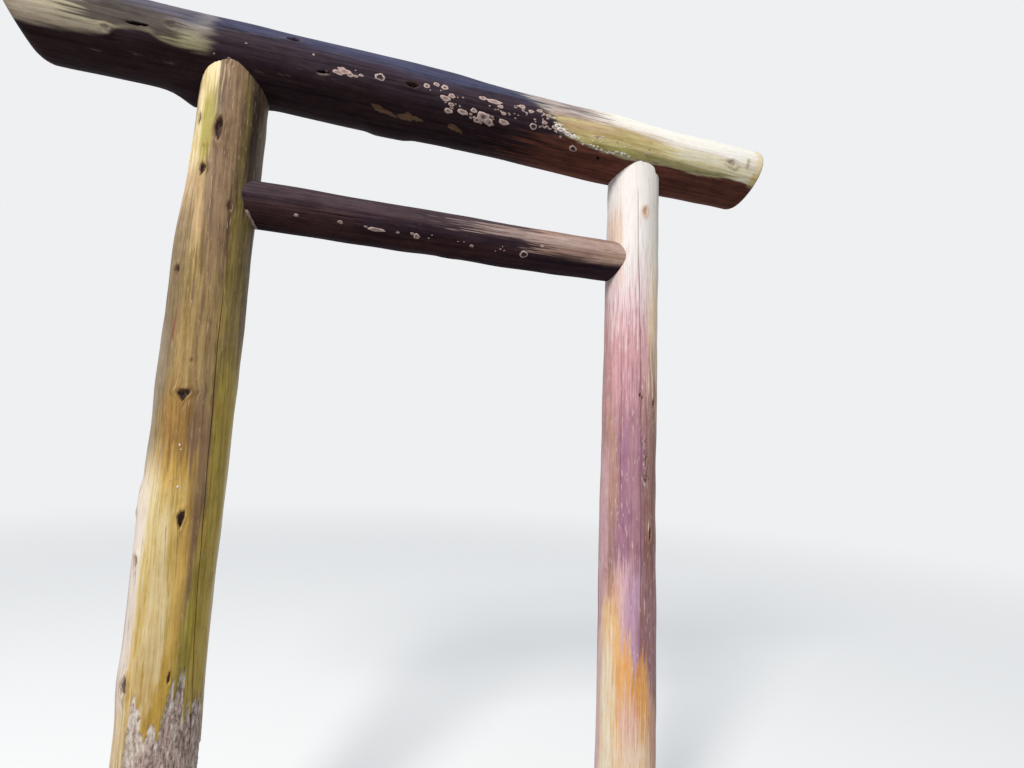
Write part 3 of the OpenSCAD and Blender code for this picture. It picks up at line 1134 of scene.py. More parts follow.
# %% The rotted foot
# Bearing and height of the line, round the post
LEFT_ROT_LINE = [
    (-180, 0.50), (-160, 0.52), (-128, 0.56), (-120, 0.62), (-115, 0.76), (-112, 0.81),
    (-107, 0.80), (-102, 0.79), (-97, 0.80), (-94, 0.76), (-89, 0.735), (-80, 0.74), (-70, 0.74),
    (-66, 0.78), (-62, 0.865), (-59, 0.87), (-56, 0.81), (-53, 0.80), (-50, 0.865), (-45, 0.875),
    (-42, 0.82), (-38, 0.77), (-30, 0.755), (-24, 0.775), (-20, 0.805), (-11, 0.79), (-2, 0.76),
    (12, 0.66), (60, 0.72), (110, 0.60), (150, 0.66), (180, 0.50),
]


def rot_away(skin, line, depth, seed, ragged):
    """The skin below a ragged line is gone, and the wood under it crumbles."""
    bearings, heights = np.array(line).T
    edge = np.interp(turn(skin.bearing), bearings, heights)
    edge = edge + ragged * wander(skin.bearing, 0 * skin.along, seed, (9, 46), (1, 2), 18)
    gone = ease((edge - skin.along) / 0.007 + 0.5)
    fibres = wander(skin.grain, skin.along, seed + 1, (22, 80), (0.05, 0.4), 40)
    crumbs = wander(skin.grain, skin.along, seed + 3, (30, 90), (0.012, 0.06), 50)
    hollows = wander(skin.grain, skin.along, seed + 2, (4, 14), (0.15, 0.5))
    skin.relief -= gone * (depth + 0.0008 * fibres + 0.0006 * crumbs + 0.0010 * hollows)
    skin.mark("bare", gone)
    skin.coat(gone, (0.63, 0.48, 0.42), (0.27, 0.185, 0.16))
    pale = wander(skin.grain, skin.along, seed + 4, (10, 40), (0.04, 0.25), 40)
    near = facing(skin.bearing, -118, -100, 8) * ease((skin.along - 0.55) / 0.15)
    skin.coat(gone * ease(0.9 * near + 0.45 * pale - 0.15), (0.84, 0.76, 0.66), (0.56, 0.46, 0.38))
    rim = ease(1 - np.abs(edge - 0.012 - skin.along) / 0.014)
    skin.coat(0.85 * rim * gone, (0.93, 0.87, 0.78), (0.78, 0.69, 0.58))
    print("bare wood on", round(100 * gone.mean()), "% of", skin.log.node)


rot_away(left_skin, LEFT_ROT_LINE, 0.0035, 41, 0.012)

# %% Left post
left_post = build_log(
    "left_post_log",
    left_skin,
    flat_rings,
    mouth_rings(left_skin, no_break),
    log_finishes("left_post", LEFT_POST_TONES, 0.52, 0.18),
)

# %% [markdown]
# ## Right post
# Paler and pinker, with long straight grain and hardly any algae. A fine check runs down
# most of its front from the broken horn. Insects have eaten one rough strip, and near the
# ground the weathered skin has worn through to orange and peach-coloured wood.

# %% Right post's knots and checks
SPIRAL_RIGHT = 7.0
FRONT_CHECK = [
    (0.86, -92), (1.00, -92.5), (1.40, -94), (1.68, -96), (2.04, -101), (2.27, -106), (2.57, -108),
]
SIDE_CHECK = [(1.05, -134), (1.35, -135), (2.04, -138)]
RIGHT_KNOTS = [
    (2.381, -91, 0.015, 0.0095, 0.003, 0.0010, 0.2),
    (1.697, -98, 0.006, 0.0045, 0.006, 0.0004, 0.0),
    (1.688, -93, 0.006, 0.0045, 0.005, 0.0004, 0.0),
    (1.666, -63, 0.018, 0.0065, 0.010, 0.0012, 0.2),
    (1.620, -110, 0.009, 0.0050, 0.001, 0.0006, 0.0),
    (1.216, -71, 0.022, 0.0070, 0.010, 0.0014, 0.3),
    (0.760, 60, 0.022, 0.0110, 0.008, 0.0020, 0.2),
    (1.480, 130, 0.020, 0.0110, 0.008, 0.0016, 0.2),
    (2.050, 80, 0.018, 0.0100, 0.007, 0.0014, 0.2),
    (1.080, -165, 0.014, 0.0070, 0.002, 0.0008, 0.0),
]
print(len(RIGHT_KNOTS), "knots, and a check of", round(FRONT_CHECK[-1][0] - FRONT_CHECK[0][0], 2), "m")

# %% Right post's skin
RIGHT_POST_SHADES = ((0.56, 0.33, 0.32), (0.42, 0.225, 0.225))
# The worn line, the eaten strip and the broken tip, where rings lie closer
RIGHT_ZONES = [(0.82, 0.12), (1.455, 0.09), (2.57, 0.03)]

places = [(k[0], k[2] * 2) for k in RIGHT_KNOTS] + RIGHT_ZONES
rings = spaced(0, POST_TOP, 0.0125, 0.0050, places)
right_skin = Skin(right_post_log, rings, 1.45, RIGHT_POST_SHADES, [FRONT_CHECK, SIDE_CHECK])
right_skin.grain = right_skin.grain + SPIRAL_RIGHT * right_skin.along
flow(right_skin, 71, 0.0006, 0.00016)
for row in RIGHT_KNOTS:
    knot(right_skin, *row)
check(right_skin, FRONT_CHECK, 0.0015, 0.004, 0.20, 0.6)
check(right_skin, SIDE_CHECK, 0.0015, 0.002, 0.2, 0.30)
fit_head(right_skin, tip_break)

# %% [markdown]
# This post is nearly white at its head, partly from painted sunlight, rose and mauve
# further down, and its unseen back is a plainer grey. The wood round the small amber knot
# is warmer than the rest.

# %% Coats on the right post's back and middle
RIGHT_COATS = {
    "ivory": ((0.90, 0.86, 0.82), (0.85, 0.78, 0.74)),
    "blush": ((0.86, 0.70, 0.70), (0.76, 0.55, 0.57)),
    "butter": ((0.96, 0.80, 0.56), (0.86, 0.62, 0.38)),
    "rose": ((0.78, 0.44, 0.47), (0.56, 0.28, 0.31)),
    "mauve": ((0.56, 0.29, 0.35), (0.34, 0.16, 0.215)),
    "clay": ((0.60, 0.35, 0.32), (0.40, 0.215, 0.195)),
    "umber": ((0.32, 0.155, 0.125), (0.21, 0.085, 0.070)),
    "lilac": ((0.42, 0.20, 0.30), (0.28, 0.125, 0.20)),
    "pink": ((0.90, 0.60, 0.64), (0.74, 0.44, 0.50)),
    "silver": ((0.50, 0.42, 0.37), (0.36, 0.27, 0.235)),
}
lay(right_skin, RIGHT_COATS, [
    # The unseen back: greyer and browner
    (201, 0.7, 0.0, 2.7, 0.3, -20, 150, 40, 12, "silver"),
    # Middle: clay on the left, mauve in front, umber on the right
    (202, 0.8, 0.6, 2.00, 0.2, 150, 222, 9, "clay"),
    (203, 0.85, 0.5, 1.95, 0.15, -138, -98, 7, "mauve"),
    (204, 0.85, 0.5, 1.80, 0.2, -91, -58, 9, 3, "umber"),
    (205, 0.5, 1.40, 1.95, 0.15, -92, -60, 8, "clay"),
    (206, 0.7, 1.70, 2.10, 0.2, -54, -20, 6, "butter"),
    (219, 0.6, 1.20, 1.70, 0.15, -60, -20, 6, ((0.36, 0.19, 0.14), (0.22, 0.10, 0.075))),
    (207, 0.75, 1.16, 1.52, 0.12, -134, -94, 8, "lilac"),
    (220, 0.5, 1.04, 1.24, 0.08, -190, -146, 8, ((0.34, 0.19, 0.21), (0.22, 0.115, 0.13))),
    (221, 0.3, 1.20, 2.00, 0.15, -168, -146, 3, 10, ((0.66, 0.38, 0.24), (0.50, 0.26, 0.15))),
    (208, 0.35, 0.90, 1.80, 0.15, -114, -104, 5, 8, "clay"),
    (209, 0.85, 0.74, 1.06, 0.08, -138, -118, 6, "pink"),
    (222, 0.7, 0.74, 1.04, 0.08, -118, -92, 5, ((0.72, 0.47, 0.62), (0.56, 0.33, 0.48))),
    (223, 0.7, 0.66, 1.04, 0.10, -90, -40, 7, ((0.50, 0.28, 0.29), (0.34, 0.175, 0.185))),
    (210, 0.6, 0.85, 1.45, 0.10, -190, -163, 5, 3, "pink"),
])

# %% Coats on its upper part and over the worn foot
lay(right_skin, RIGHT_COATS, [
    # Upper part: rose under the tie log, then blush, and ivory at the head; the pale head is partly painted
    # sunlight
    (211, 0.85, 1.80, 2.14, 0.12, -160, -76, 10, "rose"),
    (212, 0.5, 1.70, 2.20, 0.10, 160, 212, 10, "rose"),
    (213, 0.95, 2.06, 2.80, 0.13, -170, -20, 14, "blush"),
    (214, 0.85, 1.86, 2.40, 0.14, -72, -20, 9, "butter"),
    (215, 1, 2.24, 2.90, 0.12, 160, 335, 14, "ivory"),
    (216, 0.7, 2.22, 2.34, 0.08, 180, 214, 10, 3, ((0.84, 0.58, 0.42), (0.66, 0.40, 0.26))),
    # Painted sunlight: near-white on the front right of the head
    (217, 0.4, 2.20, 2.60, 0.10, -75, -50, 7, ((0.90, 0.86, 0.70), (0.86, 0.76, 0.56))),
    # Rust bleeding up from the worn foot
    (218, 0.5, 0.94, 1.02, 0.07, 198, 226, 6, 6, ((0.92, 0.52, 0.26), (0.78, 0.38, 0.17))),
])
amber = np.hypot((right_skin.along - RIGHT_KNOTS[0][0]) / 0.024, right_skin.arc(-91) / 0.015)
right_skin.coat(0.7 * ease(1.6 - amber), (0.72, 0.46, 0.28), (0.52, 0.29, 0.15))

# %% [markdown]
# Rubbing and splashing have worn the grey skin off the foot. Along a ragged line the
# fresh wood is orange, and further down it fades to peach and cream. The worn wood lies
# only a millimetre deeper. It is painted in streaks, since fibres wear one by one.

# %% The worn foot
WORN_DEPTH = 0.0010
# Bearing and height of the line, round the post
RIGHT_WEAR_LINE = [
    (-180, 0.90), (-172, 0.98), (-160, 0.985), (-152, 0.96), (-147, 1.00), (-140, 0.97),
    (-135, 0.955), (-131, 0.86), (-121, 0.855), (-112, 0.86), (-108, 0.775), (-101, 0.765),
    (-96, 0.80), (-88, 0.82), (-84, 0.80), (-67, 0.71), (-33, 0.60), (20, 0.48), (80, 0.55),
    (130, 0.62), (160, 0.80), (180, 0.90),
]
# Strength, places and fade, bearings and softness, and the two shades of each tone
WORN_TONES = [
    (0.95, 0.10, 0.97, 0.10, -174, -152, 24, (0.99, 0.93, 0.76), (0.97, 0.74, 0.44)),
    (0.80, 0.86, 1.05, 0.05, -166, -142, 12, (0.97, 0.66, 0.36), (0.90, 0.48, 0.20)),
    (0.80, 0.66, 0.90, 0.10, -134, -106, 20, (0.95, 0.52, 0.18), (0.86, 0.38, 0.09)),
    (0.85, 0.62, 0.80, 0.08, -104, -72, 12, (0.90, 0.45, 0.13), (0.74, 0.30, 0.07)),
    (0.55, 0.50, 0.66, 0.06, -128, -100, 10, (0.90, 0.66, 0.68), (0.82, 0.50, 0.52)),
    (0.60, 0.00, 0.50, 0.14, -190, -80, 24, (1.00, 0.89, 0.70), (0.98, 0.70, 0.44)),
    (0.75, -0.1, 1.05, 0.06, -215, -182, 9, (0.84, 0.58, 0.60), (0.70, 0.43, 0.46)),
    (0.65, 0.44, 0.90, 0.10, -66, 30, 14, (0.74, 0.44, 0.38), (0.54, 0.28, 0.24)),
]


def wear_through(skin, line, seed, ragged):
    """Below a ragged line the grey skin is gone: orange at the line, peach further down."""
    bearings, heights = np.array(line).T
    edge = np.interp(turn(skin.bearing), bearings, heights)
    edge = edge + ragged * wander(skin.bearing, 0 * skin.along, seed, (14, 60), (1, 2), 24)
    streaks = wander(skin.grain, skin.along, seed + 3, (30, 118), (0.3, 1.5), 36)
    threads = wander(skin.grain, skin.along, seed + 4, (20, 110), (0.2, 0.9), 40)
    below = edge - skin.along + 0.022 * streaks
    worn = ease(below / 0.055 + 0.5)
    skin.relief -= WORN_DEPTH * ease((edge - skin.along) / 0.012 + 0.5)
    bearing = skin.bearing + 3 * wander(skin.grain, skin.along, seed + 2, (3, 20), (0.2, 1))

    skin.coat(worn, (0.99, 0.71, 0.47), (0.92, 0.52, 0.25))
    for strength, low, high, fade, left, right, soft, light, dark in WORN_TONES:
        share = band(skin.along + 0.05 * threads, low, high, fade)
        share = share * facing(bearing, left, right, 1.25 * soft)
        share = np.clip(share + 1.2 * share * (1 - share) * threads, 0, 1)
        skin.coat(worn * strength * share, light, dark)
    print("worn wood on", round(100 * worn.mean()), "% of", skin.log.node)


wear_through(right_skin, RIGHT_WEAR_LINE, 45, 0.012)

# %% [markdown]
# Beetle grubs leave a strip of torn, pitted wood along the grain. It is a narrow band
# whose width swells and narrows. Inside it the surface sinks and is pitted, and its left
# side keeps a pale torn edge.

# %% The eaten strip
EATEN_DEPTH, PIT_DEPTH = 0.0030, 0.0012


def eat_strip(skin, low, high, bearing, half_width):
    """A strip that insects have eaten rough, with torn pale edges."""
    frayed = 0.45 * wander(skin.bearing, skin.along, 91, (20, 50), (0.02, 0.08))
    slim = 0.55 + 0.45 * np.sin(skin.along * 95)
    near = 1.1 * slim + 0.2 - np.abs(skin.arc(bearing)) / half_width + frayed
    inside = band(skin.along, low, high, 0.02) * np.clip(near, 0, 1)
    skin.coat(0.8 * inside, (0.36, 0.20, 0.14), (0.12, 0.055, 0.04))
    inside = ease(inside * 1.4)
    pits = wander(skin.bearing, skin.along, 92, (30, 80), (0.012, 0.05), 40)
    skin.relief -= inside * (EATEN_DEPTH + PIT_DEPTH * pits)
    skin.mark("bare", 0.8 * inside)
    torn = ease(4 * inside * (1 - inside)) * ease((skin.arc(bearing) + 0.002) / 0.004 * -1 + 1)
    skin.coat(0.9 * torn, (0.80, 0.66, 0.60), (0.66, 0.50, 0.46))
    print("eaten strip", round(high - low, 2), "m long")


eat_strip(right_skin, 1.375, 1.535, -84, 0.009)

# %% Right post
build_log(
    "right_post_log",
    right_skin,
    flat_rings,
    mouth_rings(right_skin, tip_break),
    log_finishes("right_post", RIGHT_POST_TONES, 0.56, 0.15),
)

# %% [markdown]
# ## Kasagi, the top log
# The heaviest log. Rain reaches its upper face, which is bleached and a little green at
# both ends, and sunlight is painted on it there, with a crisp painted edge of shade to the
# dark underside. Between the posts it is nearly black, partly from painted shade, with a
# violet bloom on top that is partly a painted reflection of the sky. It has a burl over the
# left post, knots, and two short slots where the wood has drawn apart, each with a pale lip.

# %% Kasagi's knots, slots and checks
LEFT_X = kasagi_log.start[0]
# Places count along the frame, from the left post
KASAGI_KNOTS = [
    (-0.310, -120, 0.011, 0.009, 0.0015, 0.0034, 0.0),
    (-0.146, -94, 0.014, 0.010, 0.0018, 0.0016, 0.0),
    (0.176, -66, 0.020, 0.008, 0.009, 0.0022, 0.0),
    (0.538, -99, 0.021, 0.0065, 0.012, 0.0012, 0.0),
    (1.224, -143, 0.007, 0.005, 0.008, 0.0004, 0.0),
    (1.787, -101, 0.019, 0.013, 0.0030, 0.0036, 0.0),
    (0.458, 20, 0.030, 0.016, 0.006, 0.0030, 0.0),
    (0.720, 125, 0.026, 0.014, 0.008, 0.0022, 0.0),
    (1.380, 60, 0.028, 0.015, 0.007, 0.0026, 0.0),
    (-0.100, 145, 0.030, 0.024, 0.006, 0.0010, 0.0),
    (-0.165, -39, 0.011, 0.008, 0.001, 0.0005, 0.0),
]
# Place, bearing, half length and half width of each slot
KASAGI_SLOTS = [(-0.228, -104.5, 0.030, 0.0042), (0.268, -110.5, 0.020, 0.0034)]
# Its two ends, width, depth and strength of each check
KASAGI_CHECKS = [
    ([(0.44, -101), (0.52, -100)], 0.0012, 0.002, 0.4),
    ([(-0.06, -82), (0.19, -64)], 0.003, 0.003, 0.12),
    ([(0.85, -150), (1.30, -147)], 0.0012, 0.002, 0.35),
    ([(0.20, -142), (0.72, -146)], 0.0012, 0.002, 0.3),
    ([(-0.30, 30), (0.55, 24)], 0.0025, 0.006, 0.8),
    ([(0.9, 95), (1.6, 101)], 0.0025, 0.006, 0.8),
]
print(len(KASAGI_KNOTS), "knots,", len(KASAGI_SLOTS), "slots and", len(KASAGI_CHECKS), "checks")

# %% Burl and slots
BURL_RISE = 0.006
SLOT_DEPTH, LIP_RISE = 0.011, 0.0012


def swell_burl(skin):
    """The burl's shoulder on the back of the log rises more steeply than the CAD's rings."""
    x = skin.along + LEFT_X
    skin.relief += BURL_RISE * band(x, 0.44, 0.52, 0.05) * facing(skin.bearing, 120, 172, 18)


def open_slot(skin, place, bearing, length, width):
    """A short deep slot along the grain with a pale lip below it."""
    u = (skin.along - place) / length
    v = skin.arc(bearing + 1.5 * np.clip(u, -1, 1)) / width
    far = np.hypot(u, v)
    skin.relief -= SLOT_DEPTH * ease((1.05 - far) / 0.5)
    skin.mark("check", ease((1.10 - far) / 0.35))
    lip = np.exp(-((v + 1.9) / 0.75) ** 2) * ease(1.15 - np.abs(u))
    skin.relief += LIP_RISE * lip
    skin.coat(0.85 * lip, (0.50, 0.42, 0.34), (0.33, 0.26, 0.20))


print("slots are", [round(2 * s[2], 3) for s in KASAGI_SLOTS], "m long")

# %% [markdown]
# On the underside a few flakes have come off and left scars of bare orange wood. A scar
# is shallow and long, with torn ends and one edge paler than the other. Its outline is a
# line of places with the bearings of its lower and its upper edge.

# %% Scars
SCAR_DEPTH = 0.0024
# A scar's half width beyond its ends, in degrees: less than nothing, so that none shows
NO_SCAR = -3
FLAKES = [
    [(0.418, -141, -139), (0.430, -146, -138), (0.445, -148, -138), (0.460, -148, -142),
     (0.475, -149.5, -144), (0.493, -151, -147)],
    [(0.493, -150.5, -149), (0.505, -151, -145.5), (0.520, -151, -143), (0.530, -151, -139),
     (0.535, -150.5, -137), (0.543, -150.5, -141), (0.560, -149.5, -143.5),
     (0.575, -148.5, -145), (0.584, -147, -146)],
    [(0.668, -146, -144), (0.676, -149, -142), (0.690, -151.5, -142.5), (0.702, -153, -146),
     (0.718, -155, -151)],
    [(1.630, -131, -130.5), (1.650, -132, -128), (1.665, -131.5, -129), (1.700, -130, -128),
     (1.740, -129.5, -127.5), (1.782, -128, -127)],
]


def chip_off(skin, scar):
    """A flake has come off: a shallow scar of bare orange wood with a torn edge."""
    x = skin.along + LEFT_X
    places, lows, highs = np.array(scar, float).T
    middle, half = (lows + highs) / 2, (highs - lows) / 2
    half = np.interp(x, places, half, left=NO_SCAR, right=NO_SCAR)
    seed = int(places[0] * 1000) + 900
    torn = 0.55 * wander(skin.bearing, skin.along, seed, (25, 60), (0.02, 0.06))
    apart = np.abs(turn(skin.bearing - np.interp(x, places, middle)))
    inside = ease((half + torn - apart) / 1.1 + 0.5)
    skin.relief -= SCAR_DEPTH * inside
    skin.mark("bare", 0.45 * inside)
    skin.coat(inside, (1.00, 0.62, 0.34), (0.70, 0.36, 0.17))
    skin.coat(0.7 * inside * ease((apart - half + 1.8) / 2), (1.00, 0.80, 0.56), (0.86, 0.56, 0.34))


print("scars from", [scar[0][0] for scar in FLAKES], "m on")

# %% Kasagi's skin
# Near-black base tones: the wood's own dark, with painted shade between the posts
KASAGI_SHADES = ((0.040, 0.026, 0.034), (0.018, 0.0105, 0.0145))
RIM_REACH = 0.012

places = [(k[0] - LEFT_X, k[2] * 2) for k in KASAGI_KNOTS + KASAGI_SLOTS]
places += [((f[0][0] + f[-1][0]) / 2 - LEFT_X, f[-1][0] - f[0][0]) for f in FLAKES]
places += [(0, RIM_REACH), (kasagi_log.length, RIM_REACH)]
rings = spaced(0, kasagi_log.length, 0.0120, 0.0056, places)
top_skin = Skin(kasagi_log, rings, 1.40, KASAGI_SHADES)
flow(top_skin, 51, 0.0006, 0.00016)
swell_burl(top_skin)
for row in KASAGI_KNOTS:
    knot(top_skin, row[0] - LEFT_X, *row[1:])
for slot in KASAGI_SLOTS:
    open_slot(top_skin, slot[0] - LEFT_X, *slot[1:])
for ends, width, depth, strong in KASAGI_CHECKS:
    check(top_skin, [(x - LEFT_X, b) for x, b in ends], width, depth, 0.08, strong)
for scar in FLAKES:
    chip_off(top_skin, scar)

# %% [markdown]
# The bleached upper face ends in a clear line along the front, low at both ends of the
# log and high between the posts, where the wood stays dark. That line is the painted edge
# of sunlight: above it sunlight is painted on the bleached wood, below it shade. The line
# is given by its bearing at some places. What lies above it is one soft share for each
# end, and the tones of a bleached, sunlit end are laid only within its share.

# %% The bleached ends, and their painted sunlight
# Bearings of the painted edge between sunlight and shade along the front, at some places
LEFT_SUNLIGHT_EDGE = [
    (-0.60, -134), (-0.52, -133), (-0.40, -130), (-0.32, -127), (-0.27, -112), (-0.20, -109),
    (-0.165, -117), (-0.10, -121), (-0.03, -121), (0.0, -114),
]
RIGHT_SUNLIGHT_EDGE = [
    (0.90, -50), (0.96, -62), (1.02, -84), (1.06, -112), (1.12, -123), (1.224, -131), (1.45, -132),
    (1.9, -129), (2.0, -129),
]


def lit_share(skin, edge, soft):
    """The share of painted sunlight: 1 above a ragged line along the log, that is nearer its top, and 0
    below it.
    """
    places, bearings = np.array(edge).T
    fray = wander(skin.bearing, skin.along, 66, (6, 60), (0.06, 0.5), 36)
    line = np.interp(skin.along + LEFT_X, places, bearings) + 0.9 * fray
    return ease((turn(skin.bearing - line) / soft) + 0.5) * ease((60 - turn(skin.bearing)) / 30 + 1)


x = top_skin.along + LEFT_X
waver = 0.007 * wander(top_skin.bearing, x, 67, (6, 40), (0.1, 0.6), 30)
# Each end's share of painted sunlight, laid over its bleached wood
sunlit_left_end = lit_share(top_skin, LEFT_SUNLIGHT_EDGE, 9) * ease((waver - x - 0.025) / 0.08)
waver = 0.012 * wander(top_skin.bearing, x, 68, (6, 40), (0.1, 0.6), 30)
soft = 7 + 34 * ease((1.10 - x) / 0.10)
sunlit_right_end = lit_share(top_skin, RIGHT_SUNLIGHT_EDGE, soft) * ease((x - 0.86 + 2 * waver) / 0.24)
fibres = wander(top_skin.bearing, x, 69, (10, 90), (0.06, 0.5), 36)
sunlit_right_end = np.clip(sunlit_right_end + 1.1 * sunlit_right_end * (1 - sunlit_right_end) * fibres, 0, 1)
for share in (sunlit_left_end, sunlit_right_end):
    print("bleached share of the skin:", round(float(share.mean()), 3))

# %% Coats all round, and on the left end
KASAGI_COATS = {
    "umber": ((0.042, 0.022, 0.024), (0.018, 0.009, 0.010)),
    "bloom": ((0.070, 0.076, 0.135), (0.038, 0.038, 0.070)),
    "fawn": ((0.48, 0.41, 0.31), (0.30, 0.245, 0.17)),
    "ash": ((0.42, 0.41, 0.43), (0.28, 0.26, 0.29)),
    "moss": ((0.42, 0.39, 0.235), (0.25, 0.225, 0.115)),
    "olive": ((0.34, 0.31, 0.08), (0.20, 0.17, 0.045)),
    "ivory": ((0.92, 0.89, 0.82), (0.86, 0.80, 0.70)),
    "sand": ((0.94, 0.87, 0.66), (0.78, 0.67, 0.42)),
    "honey": ((0.72, 0.56, 0.26), (0.56, 0.40, 0.13)),
    "lemon": ((0.78, 0.67, 0.29), (0.52, 0.42, 0.115)),
    "mahogany": ((0.26, 0.088, 0.058), (0.115, 0.040, 0.028)),
}
lay(top_skin, KASAGI_COATS, [
    # All round: a violet bloom on top, partly a painted sky reflection; umber below, partly painted shade;
    # mahogany under the right half
    (301, 0.9, -0.7, 2.1, 0.2, -70, 100, 12, "bloom"),
    (302, 0.8, -0.7, 0.8, 0.3, 180, 232, 10, "umber"),
    (303, 0.85, 1.04, 2.1, 0.12, 150, 228, 12, 5, "mahogany"),
    (321, 0.6, 1.45, 2.1, 0.20, 150, 228, 12, 8, ((0.17, 0.060, 0.040), (0.075, 0.026, 0.019))),
    (304, 0.5, 0.25, 1.0, 0.2, -96, -80, 5, ((0.070, 0.050, 0.070), (0.034, 0.022, 0.032))),
], LEFT_X)
# Fawn within the left end's share: bleached wood with painted sunlight on it
top_skin.coat(sunlit_left_end, *KASAGI_COATS["fawn"])
lay(top_skin, KASAGI_COATS, [
    # A dark grey-brown patch on the front: painted shadow
    (322, 0.85, -0.27, 0.05, 0.06, -106, -60, 8, ((0.20, 0.18, 0.165), (0.11, 0.095, 0.090))),
    (305, 0.9, -0.20, 0.02, 0.06, -124, -106, 7, "moss"),
    (306, 0.4, -0.50, -0.22, 0.08, -112, -84, 8, "moss"),
    (307, 0.85, -0.70, 0.1, 0.1, -74, 40, 9, "ash"),
    (308, 0.6, -0.70, -0.50, 0.06, -140, -60, 20, ((0.58, 0.48, 0.38), (0.44, 0.35, 0.26))),
    (309, 0.9, -0.32, 0.05, 0.10, -80, 40, 8, ((0.095, 0.090, 0.125), (0.055, 0.050, 0.072))),
    # Darker front of the left end: partly painted shadow of leaves
    (310, 0.95, -0.35, -0.16, 0.05, -112, -80, 7, ((0.095, 0.076, 0.066), (0.045, 0.036, 0.032))),
], LEFT_X, sunlit_left_end)

# %% Coats on the right end
# Sand within the right end's share: bleached wood with painted sunlight on it
top_skin.coat(sunlit_right_end, *KASAGI_COATS["sand"])
lay(top_skin, KASAGI_COATS, [
    (311, 0.9, 1.08, 2.1, 0.12, -92, 60, 12, "ivory"),
    (323, 0.9, 1.5, 2.1, 0.15, -106, 60, 9, "ivory"),
    (312, 0.9, 0.86, 1.12, 0.12, -98, 60, 12, 7, ((0.31, 0.235, 0.24), (0.20, 0.145, 0.15))),
    (325, 0.6, 0.90, 1.16, 0.10, -90, 40, 10, 12, ((0.50, 0.42, 0.39), (0.13, 0.10, 0.10))),
    (313, 0.9, 0.95, 1.42, 0.12, -122, -96, 7, "lemon"),
    (314, 0.4, 1.00, 1.35, 0.10, -112, -100, 5, 8, ((0.44, 0.38, 0.12), (0.28, 0.23, 0.06))),
    (324, 0.5, 1.02, 1.40, 0.10, -118, -98, 3, 10, ((0.60, 0.40, 0.26), (0.44, 0.27, 0.16))),
    (315, 0.75, 1.22, 1.76, 0.08, -136, -122, 5, "olive"),
    (316, 0.35, 1.00, 1.27, 0.07, -99, -84, 6, ((0.52, 0.34, 0.22), (0.38, 0.22, 0.14))),
    (317, 0.4, 1.30, 1.85, 0.12, -116, -100, 7, 7, "lemon"),
    (318, 0.35, 1.20, 1.90, 0.12, -98, -90, 4, 7, ((0.62, 0.46, 0.34), (0.50, 0.35, 0.24))),
], LEFT_X, sunlit_right_end)
# The band at the right rim, tan over honey yellow, and a smudge beside it
rim = ease((x - 1.893) / 0.016)
lay(top_skin, KASAGI_COATS, [
    (319, 0.8, 1.8, 2.1, 0.1, -132, 120, 4, 2, ((0.82, 0.68, 0.46), (0.70, 0.54, 0.30))),
    (320, 0.9, 1.8, 2.1, 0.1, -133, -116, 4, 2, "honey"),
], LEFT_X, rim)
smudge = np.exp(-((x - 1.862) / 0.007) ** 2) * facing(top_skin.bearing, -102, -88, 5)
top_skin.coat(0.7 * smudge, (0.36, 0.25, 0.16), (0.22, 0.14, 0.08))

# %% Groove and scuffs
# The pale groove that drops across the front above the left post
groove = np.interp(x, [-0.06, 0.19], [-82, -64])
line = np.exp(-(top_skin.arc(groove) / 0.0022) ** 2) * band(x, -0.05, 0.18, 0.02)
top_skin.coat(0.55 * line, (0.16, 0.14, 0.17), (0.10, 0.085, 0.11))
SCUFFS = [
    (0.088, -130, 0.010), (0.148, -127, 0.008), (0.166, -126, 0.006),
    (-0.360, -150, 0.016), (-0.238, -143, 0.010), (-0.154, -145, 0.012),
]
SCUFF_WIDE = 0.0020


def scuff(skin, x, place, bearing, length, wide, rough=0.0):
    """The share of a thin scuff along the grain, with these half sizes."""
    return np.exp(-((skin.arc(bearing) + rough) / wide) ** 2 - ((x - place) / length) ** 2)


for place, bearing, length in SCUFFS:
    seed = int(place * 1000) + 2000
    rough = 0.0012 * wander(top_skin.bearing, top_skin.along, seed, (20, 60), (0.01, 0.03))
    share = scuff(top_skin, x, place, bearing, length, SCUFF_WIDE, rough)
    top_skin.coat(0.6 * share, (0.26, 0.20, 0.19), (0.15, 0.11, 0.11))
print(len(SCUFFS), "scuffs")

# %% [markdown]
# Both ends are sawn at a slant, so that the top is longer, and their rims are worn round.
# The last rings of the skin lean over, the more the nearer they are to the end. The sawn
# faces dry fastest and have split in short checks that run out from the pith.

# %% Slanted ends
LEFT_SLANT, RIGHT_SLANT = math.radians(24), math.radians(16)
END_ROUND = 0.012
END_SHARES = (0.97, 0.90, 0.80, 0.68, 0.54, 0.38, 0.20)
# Bearing, and how far in and out each short check runs, as shares of the way to the rim
END_CHECKS = [
    (20, 0.0, 0.9), (75, 0.2, 1.1), (140, 0.0, 0.7), (205, 0.1, 1.0), (262, 0.3, 1.1), (318, 0.0, 0.8),
]
END_CHECK_DEPTH = 0.007


def slant_ends(skin):
    """Leans the end rings so that the top is longer, and rounds their rims, the left one
    more underneath."""
    log = skin.log
    inside = np.minimum(skin.along, log.length - skin.along)
    slant = np.where(skin.along < log.length / 2, -math.tan(LEFT_SLANT), math.tan(RIGHT_SLANT))
    lean = ease(1 - inside / (3.2 * log.mean))
    under = facing(skin.bearing, 150, 210, 70) * (skin.along < log.length / 2)
    soft = END_ROUND * (1 + 1.8 * under)
    close = np.clip(1 - inside / soft, 0, 1)
    skin.relief -= soft * (1 - np.sqrt(1 - close ** 2))
    radius = log.radius(skin.along, skin.bearing) + skin.relief
    skin.along = skin.along + slant * lean * radius * np.cos(np.radians(skin.bearing))


